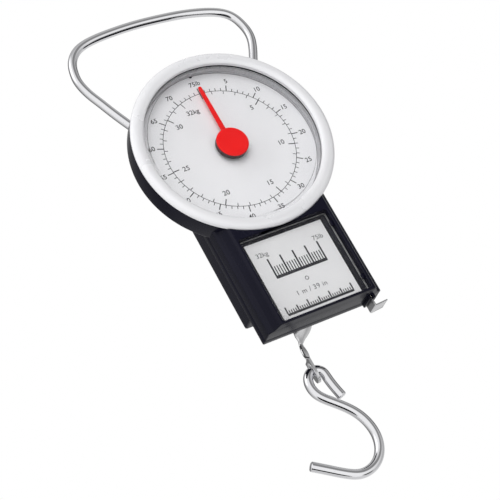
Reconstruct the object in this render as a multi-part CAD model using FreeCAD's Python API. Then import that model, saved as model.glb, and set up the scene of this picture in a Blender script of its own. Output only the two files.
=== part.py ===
import FreeCAD, Part
import math
import os

os.makedirs("parts", exist_ok=True)
V = FreeCAD.Vector

# ------------------------------------------------------------------
# Hanging spring scale with a round dial, a wire bail, an S-hook and a
# pull-out tape.  Millimetres.  While the solids are being made, the
# origin is the middle of the dial's printed face: X to the right seen
# from the front, Y to the back, Z up.  Everything is then moved so
# that the origin is where the bail's wire is hung from.
# ------------------------------------------------------------------

# round head
HEAD_R = 39.4          # outer radius of the round black pan
HEAD_FRONT = -5.6      # front edge of its wall
SEAM_Y = 4.4           # seam between the front and the rear shell
WALL = 1.6
WELL_R = 34.9          # radius of the dial well
FLOOR_Y0, FLOOR_Y1 = 0.5, 2.8    # ledge the dial plate lies on, and the floor behind it
BEZEL_R = 39.7
BEZEL_IN = 34.6
DIAL_R = 34.5
DIAL_T = 0.5

# lower box (tape case)
BOX_W = 24.3           # half width
BOX_Z0 = -76.1         # bottom
BOX_SIDE_Y = -0.8      # front edge of the flat side wall
BOX_FRONT_Y = -6.3     # front panel
PANEL_W = 20.2         # half width of the front panel
BOX_BACK_Y = 8.6

# spring housing (hump on the back)
HUMP_W = 21.8
HUMP_Z0, HUMP_Z1 = -63.7, 30.0
HUMP_Y = 22.5

# window and label
WIN_W = 19.0
WIN_Z0, WIN_Z1 = -75.0, -40.0
LABEL_W = 16.6
LABEL_Z0, LABEL_Z1 = -74.2, -41.5

# bail
BAIL_R = 1.8
BAIL_Y = 10.2
PIVOT_Z = 18.0
BAIL_TOP = 70.5
PIVOT_CLR = 0.08

# measuring work
MECH_Y = 17.0          # plane of the rack strip and of the S-hook
PITCH_R = 3.0          # pinion pitch radius
TEETH = 15
TRAVEL = 2 * math.pi * PITCH_R   # one pointer turn = 18.85 mm
STRIP_T = 1.2
SPRING_X = 11.0
SPRING_Y = 13.6
SPRING_R = 3.1         # mean coil radius
SPRING_WIRE = 0.75     # wire radius
POST_Z = 22.0
STUD_Z = -38.0
EYE_X = -7.5           # plane of the twisted eye
HOLE_Z = -89.0
HOLE_R = 2.6

# S-hook
HOOK_R = 1.87

# tape
TAPE_X = 20.1
TAPE_Y0, TAPE_Y1 = 0.35, 6.75
SPOOL_X, SPOOL_Z = 3.6, -57.6
COIL_R = 16.1          # outside of the wound tape
COIL_IN = 14.0
TAPE_OUT = 4.8         # how far the end piece hangs below the case

# where the bail hangs from: underside of its top bar
ORIGIN = V(0, BAIL_Y, BAIL_TOP - BAIL_R)


def cyl_y(r, y0, y1, x=0.0, z=0.0):
    return Part.makeCylinder(r, y1 - y0, V(x, y0, z), V(0, 1, 0))


def ring_y(r1, r0, y0, y1, x=0.0, z=0.0):
    return cyl_y(r1, y0, y1, x, z).cut(cyl_y(r0, y0 - 1, y1 + 1, x, z))


def box(x0, x1, y0, y1, z0, z1):
    return Part.makeBox(x1 - x0, y1 - y0, z1 - z0, V(x0, y0, z0))


def cyl_x(r, x0, x1, y, z):
    return Part.makeCylinder(r, x1 - x0, V(x0, y, z), V(1, 0, 0))


def revolve_y(pts):
    """closed profile of (radius, y) points turned about the dial's axis"""
    p = [V(r, y, 0) for r, y in pts]
    f = Part.Face(Part.makePolygon(p + [p[0]]))
    return f.revolve(V(0, 0, 0), V(0, 1, 0), 360)


def prism_z(pts, z0, z1):
    """closed profile of (x, y) points pushed along Z"""
    p = [V(x, y, z0) for x, y in pts]
    return Part.Face(Part.makePolygon(p + [p[0]])).extrude(V(0, 0, z1 - z0))


def plate(pts, y0, y1):
    """closed profile of (x, z) points pushed along Y"""
    p = [V(x, y0, z) for x, z in pts]
    return Part.Face(Part.makePolygon(p + [p[0]])).extrude(V(0, y1 - y0, 0))


def sweep(path_edges, r, start, tangent):
    w = Part.Wire(path_edges)
    c = Part.Wire(Part.makeCircle(r, start, tangent))
    return w.makePipeShell([c], True, True, 2)


def natural_tangents(pts):
    """unit tangents of a smooth curve through the points (x, z)"""
    b = Part.BSplineCurve()
    b.interpolate([V(x, 0, z) for x, z in pts])
    out = []
    for x, z in pts:
        t = b.tangent(b.parameter(V(x, 0, z)))[0]
        out.append((t.x, t.z))
    return out


def arc_to(a, t, b, y):
    """arc (or line) in the plane y from a, leaving along t, to b"""
    cx, cz = b[0] - a[0], b[1] - a[1]
    c = math.hypot(cx, cz)
    ux, uz = cx / c, cz / c
    along = t[0] * ux + t[1] * uz
    px, pz = t[0] - along * ux, t[1] - along * uz
    p = math.hypot(px, pz)
    if p < 1e-5:
        return Part.makeLine(V(a[0], y, a[1]), V(b[0], y, b[1]))
    phi = math.atan2(p, along)
    k = c / 2 * math.tan(phi / 2) / p
    m = ((a[0] + b[0]) / 2 + px * k, (a[1] + b[1]) / 2 + pz * k)
    return Part.Arc(V(a[0], y, a[1]), V(m[0], y, m[1]), V(b[0], y, b[1])).toShape()


def arc_chain(pts, tans, y):
    """smooth chain of arcs through the points: two arcs for each gap"""
    out = []
    for (p0, t0, p1, t1) in zip(pts[:-1], tans[:-1], pts[1:], tans[1:]):
        v = (p1[0] - p0[0], p1[1] - p0[1])
        vv = v[0] ** 2 + v[1] ** 2
        vt = v[0] * (t0[0] + t1[0]) + v[1] * (t0[1] + t1[1])
        q = 2 * (1 - (t0[0] * t1[0] + t0[1] * t1[1]))
        if q < 1e-9:
            d = vv / (2 * vt)
        else:
            d = (-vt + math.sqrt(vt * vt + q * vv)) / q
        m = ((p0[0] + d * t0[0] + p1[0] - d * t1[0]) / 2, (p0[1] + d * t0[1] + p1[1] - d * t1[1]) / 2)
        tm = (p1[0] - d * t1[0] - p0[0] - d * t0[0], p1[1] - d * t1[1] - p0[1] - d * t0[1])
        n = math.hypot(*tm)
        tm = (tm[0] / n, tm[1] / n)
        out.append(arc_to(p0, t0, m, y))
        out.append(arc_to(m, tm, p1, y))
    return out


def bent_wire(edges, r, start, tangent):
    """round wire of radius r bent along a smooth chain of lines and arcs"""
    face = Part.Face(Part.Wire(Part.makeCircle(r, start, tangent)))
    return Part.Wire(edges).makePipe(face)


def one(s):
    s = s.removeSplitter()
    if s.ShapeType in ("Compound", "Shell") and len(s.Solids) == 1:
        s = s.Solids[0]
    return s


def screw(x, z, head_y, end_y, r=1.1, head_r=2.1, head_h=1.2):
    """cross-recess screw put in from the back: head at high y"""
    s = cyl_y(r, end_y, head_y - head_h + 0.2, x, z)
    s = s.fuse(cyl_y(head_r, head_y - head_h, head_y, x, z))
    for a in (0, 90):
        b = box(-1.35, 1.35, head_y - 0.6, head_y + 1, -0.3, 0.3)
        b.rotate(V(0, 0, 0), V(0, 1, 0), a + 20)
        b.translate(V(x, 0, z))
        s = s.cut(b)
    return one(s)


parts = {}

# ------------------------------------------------------------------
# front shell: round pan with a double wall, and the front of the case
# ------------------------------------------------------------------
pan = cyl_y(HEAD_R, HEAD_FRONT, SEAM_Y)
rear_edge = [e for e in pan.Edges if abs(e.CenterOfMass.y - SEAM_Y) < 1e-3]
pan = pan.makeFillet(1.3, rear_edge)
# front hollow that the bezel and the lens sit in
pan = pan.cut(cyl_y(HEAD_R - WALL, HEAD_FRONT - 1, -4.1))
# dial well, with a ledge round it that the dial plate lies on
pan = pan.cut(cyl_y(WELL_R, -5, FLOOR_Y1))
pan = pan.fuse(ring_y(WELL_R + 0.2, 33.0, FLOOR_Y0, FLOOR_Y1 + 0.1))
# ring groove between the two walls, open to the front under the bezel
pan = pan.cut(ring_y(HEAD_R - WALL, WELL_R + WALL, -5, FLOOR_Y1))

side = [(-BOX_W, SEAM_Y), (-BOX_W, BOX_SIDE_Y), (-23.6, -1.5), (-22.4, -2.0),
        (-21.6, -3.6), (-20.9, -5.3), (-PANEL_W, BOX_FRONT_Y)]
prof = side + [(-x, y) for x, y in reversed(side)]
case = prism_z(prof, BOX_Z0, -24.0)
cav = [(-BOX_W + 1.5, SEAM_Y + 1), (-BOX_W + 1.5, -0.4), (BOX_W - 1.5, -0.4), (BOX_W - 1.5, SEAM_Y + 1)]
case = case.cut(prism_z(cav, BOX_Z0 + 1.5, -23.0))
# recess for the window, and the shallower one for the label card
case = case.cut(box(-WIN_W - 0.1, WIN_W + 0.1, -20, -2.5, WIN_Z0 - 0.1, WIN_Z1 + 0.1))
case = case.cut(box(-LABEL_W - 0.4, LABEL_W + 0.4, -3, -1.9, LABEL_Z0 - 0.4, LABEL_Z1 + 0.4))
case = case.cut(cyl_y(HEAD_R - 0.5, -30, 30))
case = case.cut(cyl_y(BEZEL_R + 0.2, -30, HEAD_FRONT + 0.05))
front = pan.fuse(case)
# small raised lips beside the window that hold it
for (sx, z) in ((-1, -45.5), (-1, -69.5), (1, -45.5), (1, -69.5)):
    front = front.fuse(box(min(sx * 18.2, sx * 19.6), max(sx * 18.2, sx * 19.6), -5.0, -4.0, z - 1.1, z + 1.1))
# spindle bearing boss
front = front.fuse(ring_y(4.2, 2.5, 0.7, 6.6))
front = front.cut(cyl_y(2.5, -1, 8))
# bosses for the two upper screws
for sx in (-1, 1):
    front = front.fuse(cyl_y(2.6, 0.9, SEAM_Y, sx * 17.5, 25.0))
    front = front.cut(cyl_y(1.13, 1.5, 30, sx * 17.5, 25.0))
# boss for the lower screw, in the corner of the tape case
front = front.fuse(box(-23.0, -18.4, -0.5, SEAM_Y, BOX_Z0 + 0.8, -71.0))
front = front.cut(cyl_y(1.13, 0.6, 30, -20.6, -73.3))
# tape mouth in the bottom wall
front = front.cut(box(TAPE_X - 0.9, TAPE_X + 0.9, TAPE_Y0 - 0.5, SEAM_Y + 1, BOX_Z0 - 1, BOX_Z0 + 2))
# spool axle socket
front = front.fuse(cyl_y(4.0, -0.5, 0.0, SPOOL_X, SPOOL_Z))
parts["front_housing"] = one(front)

# ------------------------------------------------------------------
# rear shell: back of the tape case and the spring housing
# ------------------------------------------------------------------
slab = box(-BOX_W, BOX_W, SEAM_Y, BOX_BACK_Y, BOX_Z0, -24.0)
slab = slab.makeFillet(0.8, [e for e in slab.Edges if e.BoundBox.YMin > BOX_BACK_Y - 1e-3])
hump = box(-HUMP_W, HUMP_W, SEAM_Y, HUMP_Y, HUMP_Z0, HUMP_Z1)
hump = hump.makeFillet(2.4, [e for e in hump.Edges if e.BoundBox.YMin > HUMP_Y - 1e-3
                             or (e.BoundBox.ZLength < 1e-3 and False)])
rear = slab.fuse(hump)
# tape room, then spring room
rear = rear.cut(box(-BOX_W + 1.5, BOX_W - 1.5, SEAM_Y - 1, 7.0, BOX_Z0 + 1.5, -25.5))
rear = rear.cut(box(-HUMP_W + 1.5, HUMP_W - 1.5, SEAM_Y - 1, HUMP_Y - 1.3, HUMP_Z0 + 1.5, HUMP_Z1 - 1.5))
# seat for the divider plate
rear = rear.cut(box(-BOX_W + 1.5, BOX_W - 1.5, 6.99, 7.0, BOX_Z0 + 1.5, -25.5))
# bail pivots
rear = rear.cut(cyl_x(BAIL_R + PIVOT_CLR, -30, 30, BAIL_Y, PIVOT_Z))
for sx in (-1, 1):
    x0, x1 = sorted((sx * 18.6, sx * 20.4))
    rear = rear.fuse(cyl_x(3.4, x0, x1, BAIL_Y, PIVOT_Z).cut(cyl_x(BAIL_R + PIVOT_CLR, -30, 30, BAIL_Y, PIVOT_Z)))
# upper screw posts with sunk heads
for sx in (-1, 1):
    rear = rear.fuse(cyl_y(2.6, SEAM_Y, HUMP_Y - 0.5, sx * 17.5, 25.0))
    rear = rear.cut(cyl_y(1.13, SEAM_Y - 1, 30, sx * 17.5, 25.0))
    rear = rear.cut(cyl_y(2.15, HUMP_Y - 1.9, 30, sx * 17.5, 25.0))
# lower screw post in the tape case
rear = rear.fuse(cyl_y(2.4, SEAM_Y, 7.4, -20.6, -73.3).common(box(-BOX_W + 0.1, 0, 0, 20, BOX_Z0 + 0.1, 0)))
rear = rear.cut(cyl_y(1.13, SEAM_Y - 1, 30, -20.6, -73.3))
rear = rear.cut(cyl_y(2.15, BOX_BACK_Y - 1.5, 30, -20.6, -73.3))
# rear spindle bearing
rear = rear.fuse(cyl_y(4.2, 19.2, HUMP_Y - 0.5))
rear = rear.cut(cyl_y(2.5, 18, HUMP_Y - 0.9))
# spring posts
for sx in (-1, 1):
    rear = rear.fuse(cyl_y(2.9, 18.2, HUMP_Y - 0.5, sx * SPRING_X, POST_Z))
    rear = rear.cut(cyl_y(1.5, 10, HUMP_Y - 1.0, sx * SPRING_X, POST_Z))
# slot for the rack strip
rear = rear.cut(box(-8.9, 1.5, MECH_Y - 1.1, MECH_Y + 1.1, HUMP_Z0 - 1, HUMP_Z0 + 3))
# tape mouth
rear = rear.cut(box(TAPE_X - 0.9, TAPE_X + 0.9, SEAM_Y - 1, TAPE_Y1 + 0.25, BOX_Z0 - 1, BOX_Z0 + 2))
parts["rear_housing"] = one(rear)

# divider plate between tape room and spring room
div = box(-BOX_W + 1.6, BOX_W - 1.6, 7.0, 7.9, -71.0, -27.0)
div = div.common(box(-HUMP_W + 1.6, HUMP_W - 1.6, 7.0, 7.9, HUMP_Z0 + 1.6, -27.0))
div = div.fuse(box(-10, 10, 7.0, 7.9, -28, -24.0))
div = div.cut(cyl_y(2.53, 0, 20, SPOOL_X, SPOOL_Z))
parts["divider_plate"] = one(div)

# ------------------------------------------------------------------
# screws at the back
# ------------------------------------------------------------------
sc = [screw(sx * 17.5, 25.0, HUMP_Y - 0.7, 1.6) for sx in (-1, 1)]
sc.append(screw(-20.6, -73.3, BOX_BACK_Y - 0.3, 0.9))
parts["housing_screws"] = Part.makeCompound(sc)

# ------------------------------------------------------------------
# bezel, lens, dial plate
# ------------------------------------------------------------------
dome = [(BEZEL_R, -5.8), (39.65, -6.3), (39.3, -6.95), (38.6, -7.5), (37.7, -7.85), (36.7, -7.9), (35.7, -7.65),
        (35.0, -7.25), (BEZEL_IN, -6.8)]
b = Part.BSplineCurve()
b.interpolate([V(r, y, 0) for r, y in dome])
e1 = b.toShape()
q = [V(BEZEL_IN, -6.8, 0), V(BEZEL_IN, -5.1, 0), V(36.4, -5.1, 0), V(36.4, -4.3, 0),
     V(37.6, -4.3, 0), V(37.6, HEAD_FRONT, 0), V(BEZEL_R, HEAD_FRONT, 0), V(BEZEL_R, -5.8, 0)]
edges = [e1] + [Part.makeLine(q[i], q[i + 1]) for i in range(len(q) - 1)]
bezel = Part.Face(Part.Wire(edges)).revolve(V(0, 0, 0), V(0, 1, 0), 360)
parts["dial_bezel"] = one(bezel)

lens = revolve_y([(0, -5.7), (33.1, -5.7), (33.5, -5.5), (33.55, -5.0), (36.2, -5.0), (36.2, -4.15),
                  (33.0, -4.15), (32.7, -4.6), (0, -4.6)])
parts["dial_lens"] = one(lens)

dial = cyl_y(DIAL_R, 0, DIAL_T).cut(cyl_y(1.7, -1, 1))
dial = dial.cut(cyl_y(0.75, -1, 1, 0.0, 34.6))
parts["dial_plate"] = one(dial)

# ------------------------------------------------------------------
# spindle with pinion, its two bearings, pointer
# ------------------------------------------------------------------
mod = 2 * PITCH_R / TEETH
gear_pts = []
half = math.pi / TEETH / 2
for i in range(TEETH):
    a = 2 * math.pi * i / TEETH       # a tooth centred on +X at rest
    for da, r in ((-half * 1.55, PITCH_R - 1.1 * mod), (-half * 0.86, PITCH_R), (-half * 0.42, PITCH_R + 0.85 * mod),
                  (half * 0.42, PITCH_R + 0.85 * mod), (half * 0.86, PITCH_R), (half * 1.55, PITCH_R - 1.1 * mod)):
        gear_pts.append((r * math.cos(a + da), r * math.sin(a + da)))
pin = plate(gear_pts, MECH_Y - 1.2, MECH_Y + 1.2)
pin = pin.fuse(cyl_y(1.0, -2.6, 21.3)).fuse(cyl_y(1.9, 6.9, MECH_Y - 1.2))
parts["pinion_spindle"] = one(pin)
bush = [ring_y(2.5, 1.05, 0.8, 6.5), ring_y(2.5, 1.05, 19.0, 21.5)]
parts["spindle_bushings"] = Part.makeCompound(bush)

hub = cyl_y(6.6, -4.2, -1.9)
hub = hub.makeFillet(0.35, [e for e in hub.Edges if abs(e.CenterOfMass.y + 4.2) < 1e-3])
hub = hub.fuse(cyl_y(2.2, -1.95, -0.9))
arm = plate([(-0.95, 4.0), (0.95, 4.0), (0.72, 28.6), (0.45, 29.1), (-0.45, 29.1), (-0.72, 28.6)], -2.6, -1.9)
pointer = hub.fuse(arm).cut(cyl_y(1.0, -2.6, 3))
parts["pointer"] = one(pointer)

# ------------------------------------------------------------------
# rack strip: head with a toothed slot, arms for the springs, strip
# through the bottom, quarter twist and eye
# ------------------------------------------------------------------
y0, y1 = MECH_Y - STRIP_T / 2, MECH_Y + STRIP_T / 2
head = plate([(-7.4, 25.8), (-6.2, 27.2), (5.5, 27.2), (6.7, 25.8), (6.7, -32.5), (14.3, -34.6), (14.3, -40.0), (3.0, -41.2),
              (0.95, -43.0), (0.95, -72.5), (-8.15, -72.5), (-8.15, -43.0), (-9.0, -41.2), (-14.3, -40.0), (-14.3, -34.6), (-7.4, -32.5)], y0, y1)
head = head.cut(box(-4.3, 4.6, y0 - 1, y1 + 1, -5.0, 24.0))
tp = math.pi * mod
rack = [(4.7, -4.9)]
z = -4.5 * tp
zz = []
k0 = -4
k1 = int(TRAVEL / tp) + 4
for k in range(k0, k1 + 1):
    # a gap between teeth faces +X of the pinion at rest, so teeth sit half a pitch away
    c = (k + 0.5) * tp
    if c - tp / 2 < -4.9 or c + tp / 2 > 23.9:
        continue
    rack += [(PITCH_R + 1.15 * mod, c - tp * 0.40), (PITCH_R, c - tp * 0.215), (PITCH_R - 0.85 * mod, c - tp * 0.10),
             (PITCH_R - 0.85 * mod, c + tp * 0.10), (PITCH_R, c + tp * 0.215), (PITCH_R + 1.15 * mod, c + tp * 0.40)]
rack += [(4.7, 23.9)]
head = head.fuse(plate(rack, y0, y1))
# quarter twist towards the eye
zbot = -85.2
secs = []
for zc, deg, w, xc in ((-72.5, 0, 9.1, -3.6), (-74.0, 7, 8.5, -3.8), (-75.6, 20, 7.0, -4.7), (-77.0, 33, 5.2, -5.9),
                       (-78.6, 42, 4.0, -6.7), (-81.0, 46, 5.2, -6.9), (-83.4, 58, 6.2, -7.1), (zbot, 82, 6.7, EYE_X)):
    a = math.radians(deg)
    ca, sa = math.cos(a), math.sin(a)
    c4 = []
    for px, py in ((-w / 2, -STRIP_T / 2), (w / 2, -STRIP_T / 2), (w / 2, STRIP_T / 2), (-w / 2, STRIP_T / 2)):
        c4.append(V(xc + px * ca - py * sa, MECH_Y + px * sa + py * ca, zc))
    secs.append(Part.makePolygon(c4 + [c4[0]]))
twist = Part.makeLoft(secs, True, False)
eye = Part.makeBox(STRIP_T, 6.7, zbot - HOLE_Z + 0.01, V(EYE_X - STRIP_T / 2, MECH_Y - 3.35, HOLE_Z))
eye = eye.fuse(cyl_x(3.35, EYE_X - STRIP_T / 2, EYE_X + STRIP_T / 2, MECH_Y, HOLE_Z - 2.2))
eye = eye.fuse(Part.makeBox(STRIP_T, 6.7, 2.3, V(EYE_X - STRIP_T / 2, MECH_Y - 3.35, HOLE_Z - 2.2)))
eye = eye.cut(cyl_x(HOLE_R, -20, 20, MECH_Y, HOLE_Z))
eye.rotate(V(EYE_X, MECH_Y, 0), V(0, 0, 1), -8)      # stands a little off square
bar = head.fuse(twist).fuse(eye)
for sx in (-1, 1):
    bar = bar.cut(cyl_y(1.3, 0, 30, sx * SPRING_X, STUD_Z))
parts["rack_drawbar"] = one(bar)

studs = []
for sx in (-1, 1):
    s = cyl_y(1.3, SPRING_Y - 1.4, y1 + 0.5, sx * SPRING_X, STUD_Z)
    s = s.fuse(cyl_y(2.1, SPRING_Y - 2.2, SPRING_Y - 1.3, sx * SPRING_X, STUD_Z))
    s = s.fuse(cyl_y(2.0, y1, y1 + 0.8, sx * SPRING_X, STUD_Z))
    studs.append(one(s))
parts["spring_studs"] = Part.makeCompound(studs)

posts = []
for sx in (-1, 1):
    s = cyl_y(1.5, SPRING_Y - 1.4, HUMP_Y - 1.0, sx * SPRING_X, POST_Z)
    s = s.fuse(cyl_y(2.2, SPRING_Y - 2.4, SPRING_Y - 1.3, sx * SPRING_X, POST_Z))
    posts.append(one(s))
parts["spring_posts"] = Part.makeCompound(posts)


def spring(x):
    """tension spring: close coil with a tall loop at each end"""
    top_in = POST_Z + 1.5 + 0.1          # inside of the top loop, resting on the post
    bot_in = STUD_Z - 1.3 - 0.25
    r = SPRING_R
    w = SPRING_WIRE
    zt_arc = top_in + w - r              # centre of the top half loop
    zb_arc = bot_in - w + r
    leg = 5.0
    zt = zt_arc - leg
    zb = zb_arc + leg
    turns = 24
    hx = Part.makeHelix((zt - zb) / turns, zt - zb, r)
    hx.translate(V(x, SPRING_Y, zb))
    # helix starts at +X side and ends at +X side
    coil = Part.Wire(hx.Edges).makePipeShell([Part.Wire(Part.makeCircle(w, V(x + r, SPRING_Y, zb), V(0, 1, 0)))], True, True)
    out = coil
    for (z_c, za, s) in ((zt, zt_arc, 1), (zb, zb_arc, -1)):
        e = [Part.makeLine(V(x + r, SPRING_Y, z_c), V(x + r, SPRING_Y, za)),
             Part.Arc(V(x + r, SPRING_Y, za), V(x, SPRING_Y, za + s * r), V(x - r, SPRING_Y, za)).toShape(),
             Part.makeLine(V(x - r, SPRING_Y, za), V(x - r, SPRING_Y, za - s * 1.6))]
        c = Part.Wire(Part.makeCircle(w * 0.999, V(x + r, SPRING_Y, z_c), V(0, 0, s)))
        loop = Part.Wire(e).makePipeShell([c], True, True, 2)
        out = out.fuse(loop).fuse(Part.makeSphere(w * 1.06, V(x + r, SPRING_Y, z_c)))
    return one(out)


parts["load_spring_left"] = spring(-SPRING_X)
parts["load_spring_right"] = spring(SPRING_X)

# ------------------------------------------------------------------
# S-hook, in the plane of the rack strip
# ------------------------------------------------------------------
hp = [(-2.2, -102.8), (-3.2, -98.6), (-3.9, -94.0), (-4.6, -91.0), (-7.4, -89.45), (-10.3, -90.8), (-11.7, -94.2), (-11.0, -98.2), (-7.6, -102.5),
      (-3.4, -106.8), (-0.2, -111.2), (1.6, -115.9), (2.0, -120.8), (0.7, -125.6), (-2.4, -129.5), (-6.8, -131.6), (-11.4, -131.6),
      (-15.6, -129.7), (-20.9, -126.1), (-26.9, -121.9)]
ht = natural_tangents(hp)
hook = bent_wire(arc_chain(hp, ht, MECH_Y), HOOK_R, V(hp[0][0], MECH_Y, hp[0][1]), V(ht[0][0], 0, ht[0][1]))
parts["s_hook"] = one(hook)

# ------------------------------------------------------------------
# bail: one length of wire, its ends turned in through the housing
# ------------------------------------------------------------------
BEND = 2.3
full = [(24.2, PIVOT_Z + BEND), (25.3, 23.4), (29.0, 30.2), (34.0, 39.6), (37.1, 46.2), (38.2, 50.1), (38.25, 54.0), (37.45, 57.8), (36.0, 61.2),
        (33.3, 64.05), (29.9, 65.9), (26.25, 67.15), (22.4, 68.1), (14.7, 69.4), (6.85, 70.1), (-1.0, BAIL_TOP), (-8.8, BAIL_TOP),
        (-16.6, 70.05), (-24.3, 69.15), (-28.1, 68.3), (-31.8, 66.8), (-34.95, 64.25), (-37.1, 60.9), (-38.2, 57.0), (-38.5, 52.9),
        (-37.75, 48.8), (-36.4, 45.0), (-34.7, 41.4), (-33.0, 37.7), (-29.5, 30.5), (-25.6, 23.6), (-24.2, PIVOT_Z + BEND)]
bt = natural_tangents(full)
bt[0], bt[-1] = (0.0, 1.0), (0.0, -1.0)
ex = full[0][0] - BEND           # the ends turn in towards the side walls
c45 = BEND * math.sin(math.pi / 4)
edges = [Part.makeLine(V(17.4, BAIL_Y, PIVOT_Z), V(ex, BAIL_Y, PIVOT_Z)),
         Part.Arc(V(ex, BAIL_Y, PIVOT_Z), V(ex + c45, BAIL_Y, PIVOT_Z + BEND - c45), V(ex + BEND, BAIL_Y, PIVOT_Z + BEND)).toShape()]
edges += arc_chain(full, bt, BAIL_Y)
edges += [Part.Arc(V(-ex - BEND, BAIL_Y, PIVOT_Z + BEND), V(-ex - c45, BAIL_Y, PIVOT_Z + BEND - c45), V(-ex, BAIL_Y, PIVOT_Z)).toShape(),
          Part.makeLine(V(-ex, BAIL_Y, PIVOT_Z), V(-17.4, BAIL_Y, PIVOT_Z))]
bail = bent_wire(edges, BAIL_R, V(17.4, BAIL_Y, PIVOT_Z), V(1, 0, 0))
parts["bail_handle"] = one(bail)

# ------------------------------------------------------------------
# label card and its window
# ------------------------------------------------------------------
parts["label_card"] = box(-LABEL_W, LABEL_W, -2.2, -1.9, LABEL_Z0, LABEL_Z1)
win = box(-WIN_W, WIN_W, -3.9, -2.52, WIN_Z0, WIN_Z1)
win = win.makeFillet(1.0, [e for e in win.Edges if e.BoundBox.YLength > 1.0])
win = win.makeChamfer(0.4, [e for e in win.Edges if e.BoundBox.YMax < -3.9 + 1e-3])
parts["label_window"] = one(win)

# ------------------------------------------------------------------
# tape: axle, spool, wound tape, return spring, free blade, end piece
# ------------------------------------------------------------------
axle = cyl_y(2.5, 0.0, 7.9, SPOOL_X, SPOOL_Z)
axle = axle.cut(box(SPOOL_X - 0.35, SPOOL_X + 0.35, 3.0, 9, SPOOL_Z - 3, SPOOL_Z + 3))
parts["spool_axle"] = one(axle)
spool = ring_y(COIL_IN, COIL_IN - 1.2, 0.3, 6.8, SPOOL_X, SPOOL_Z)
spool = spool.fuse(ring_y(COIL_IN, 3.4, 0.3, 0.9, SPOOL_X, SPOOL_Z))
spool = spool.fuse(ring_y(3.9, 2.56, 0.3, 2.0, SPOOL_X, SPOOL_Z))
for k in range(6):
    a_ = math.radians(60 * k + 30)
    spool = spool.cut(cyl_y(2.6, 0, 0.95, SPOOL_X + 8.3 * math.cos(a_), SPOOL_Z + 8.3 * math.sin(a_)))
parts["tape_spool"] = one(spool)


def spiral(r_a, r_b, turns, t, y0_, y1_, phase=0.0, per=28):
    """flat strip wound in a spiral about the spool's axle"""
    nn = int(turns * per)
    outer, inner = [], []
    for i in range(nn + 1):
        u = i / nn
        a_ = phase + 2 * math.pi * turns * u
        r = r_a + (r_b - r_a) * u
        outer.append((SPOOL_X + r * math.cos(a_), SPOOL_Z + r * math.sin(a_)))
        inner.append((SPOOL_X + (r - t) * math.cos(a_), SPOOL_Z + (r - t) * math.sin(a_)))
    return plate(outer + inner[::-1], y0_, y1_)


parts["tape_coil"] = ring_y(COIL_R, COIL_IN + 0.02, TAPE_Y0, TAPE_Y1, SPOOL_X, SPOOL_Z)
parts["tape_return_spring"] = one(spiral(4.4, 12.2, 7.0, 0.3, 2.6, 6.4))

blade_t = 0.22
parts["tape_blade"] = box(TAPE_X - blade_t / 2, TAPE_X + blade_t / 2, TAPE_Y0, TAPE_Y1, BOX_Z0 - 0.6, SPOOL_Z)
ex0 = TAPE_X - 0.35
zt_, zb_ = BOX_Z0 - 0.6, BOX_Z0 - TAPE_OUT - 0.4

pro = [V(TAPE_X - 0.30, TAPE_Y0 - 0.05, zt_), V(TAPE_X + 0.30, TAPE_Y0 - 0.05, zt_), V(TAPE_X + 0.30, TAPE_Y0 - 0.05, zb_ + 0.62),
       V(TAPE_X + 5.4, TAPE_Y0 - 0.05, zb_ + 0.92), V(TAPE_X + 5.4, TAPE_Y0 - 0.05, zb_ + 0.42), V(TAPE_X + 0.2, TAPE_Y0 - 0.05, zb_),
       V(TAPE_X - 0.30, TAPE_Y0 - 0.05, zb_ + 0.35)]
end = Part.Face(Part.makePolygon(pro + [pro[0]])).extrude(V(0, TAPE_Y1 - TAPE_Y0 + 0.1, 0))
for dy in (1.9, 4.6):
    r_ = Part.makeCylinder(0.7, 0.25, V(TAPE_X + 0.30, TAPE_Y0 + dy, BOX_Z0 - 2.0), V(1, 0, 0))
    end = end.fuse(r_)
parts["tape_end_piece"] = one(end)

# ------------------------------------------------------------------
bad = []
for name, s in parts.items():
    s = s.copy()
    s.translate(V(-ORIGIN.x, -ORIGIN.y, -ORIGIN.z))
    ok = s.isValid()
    sol = s.Solids
    if not ok or not sol:
        bad.append(name)
    print("%-20s valid=%s solids=%d vol=%.1f bbox=%s" % (name, ok, len(sol), s.Volume,
          [round(v, 2) for v in (s.BoundBox.XMin, s.BoundBox.XMax, s.BoundBox.YMin, s.BoundBox.YMax, s.BoundBox.ZMin, s.BoundBox.ZMax)]))
    s.exportStep("parts/%s.step" % name)
print("bad:", bad)
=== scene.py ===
import math

import bmesh
import bpy
import numpy as np
from mathutils import Matrix, Vector


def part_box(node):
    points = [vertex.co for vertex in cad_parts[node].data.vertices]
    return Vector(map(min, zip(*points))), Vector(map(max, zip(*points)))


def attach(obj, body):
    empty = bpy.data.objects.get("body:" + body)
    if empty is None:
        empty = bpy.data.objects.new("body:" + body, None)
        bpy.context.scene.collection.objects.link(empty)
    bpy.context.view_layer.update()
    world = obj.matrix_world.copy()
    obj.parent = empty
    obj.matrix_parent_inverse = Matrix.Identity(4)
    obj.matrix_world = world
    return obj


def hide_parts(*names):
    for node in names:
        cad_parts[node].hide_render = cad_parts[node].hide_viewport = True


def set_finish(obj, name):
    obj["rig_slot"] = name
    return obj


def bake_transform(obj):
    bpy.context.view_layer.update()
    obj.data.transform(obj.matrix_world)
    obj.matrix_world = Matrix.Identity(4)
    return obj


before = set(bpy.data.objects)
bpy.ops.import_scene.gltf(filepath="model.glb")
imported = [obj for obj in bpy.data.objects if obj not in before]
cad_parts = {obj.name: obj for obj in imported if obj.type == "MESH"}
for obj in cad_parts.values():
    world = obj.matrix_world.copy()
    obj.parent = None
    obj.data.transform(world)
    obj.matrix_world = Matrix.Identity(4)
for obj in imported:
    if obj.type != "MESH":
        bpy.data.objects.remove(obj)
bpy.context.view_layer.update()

sc = bpy.context.scene

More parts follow.
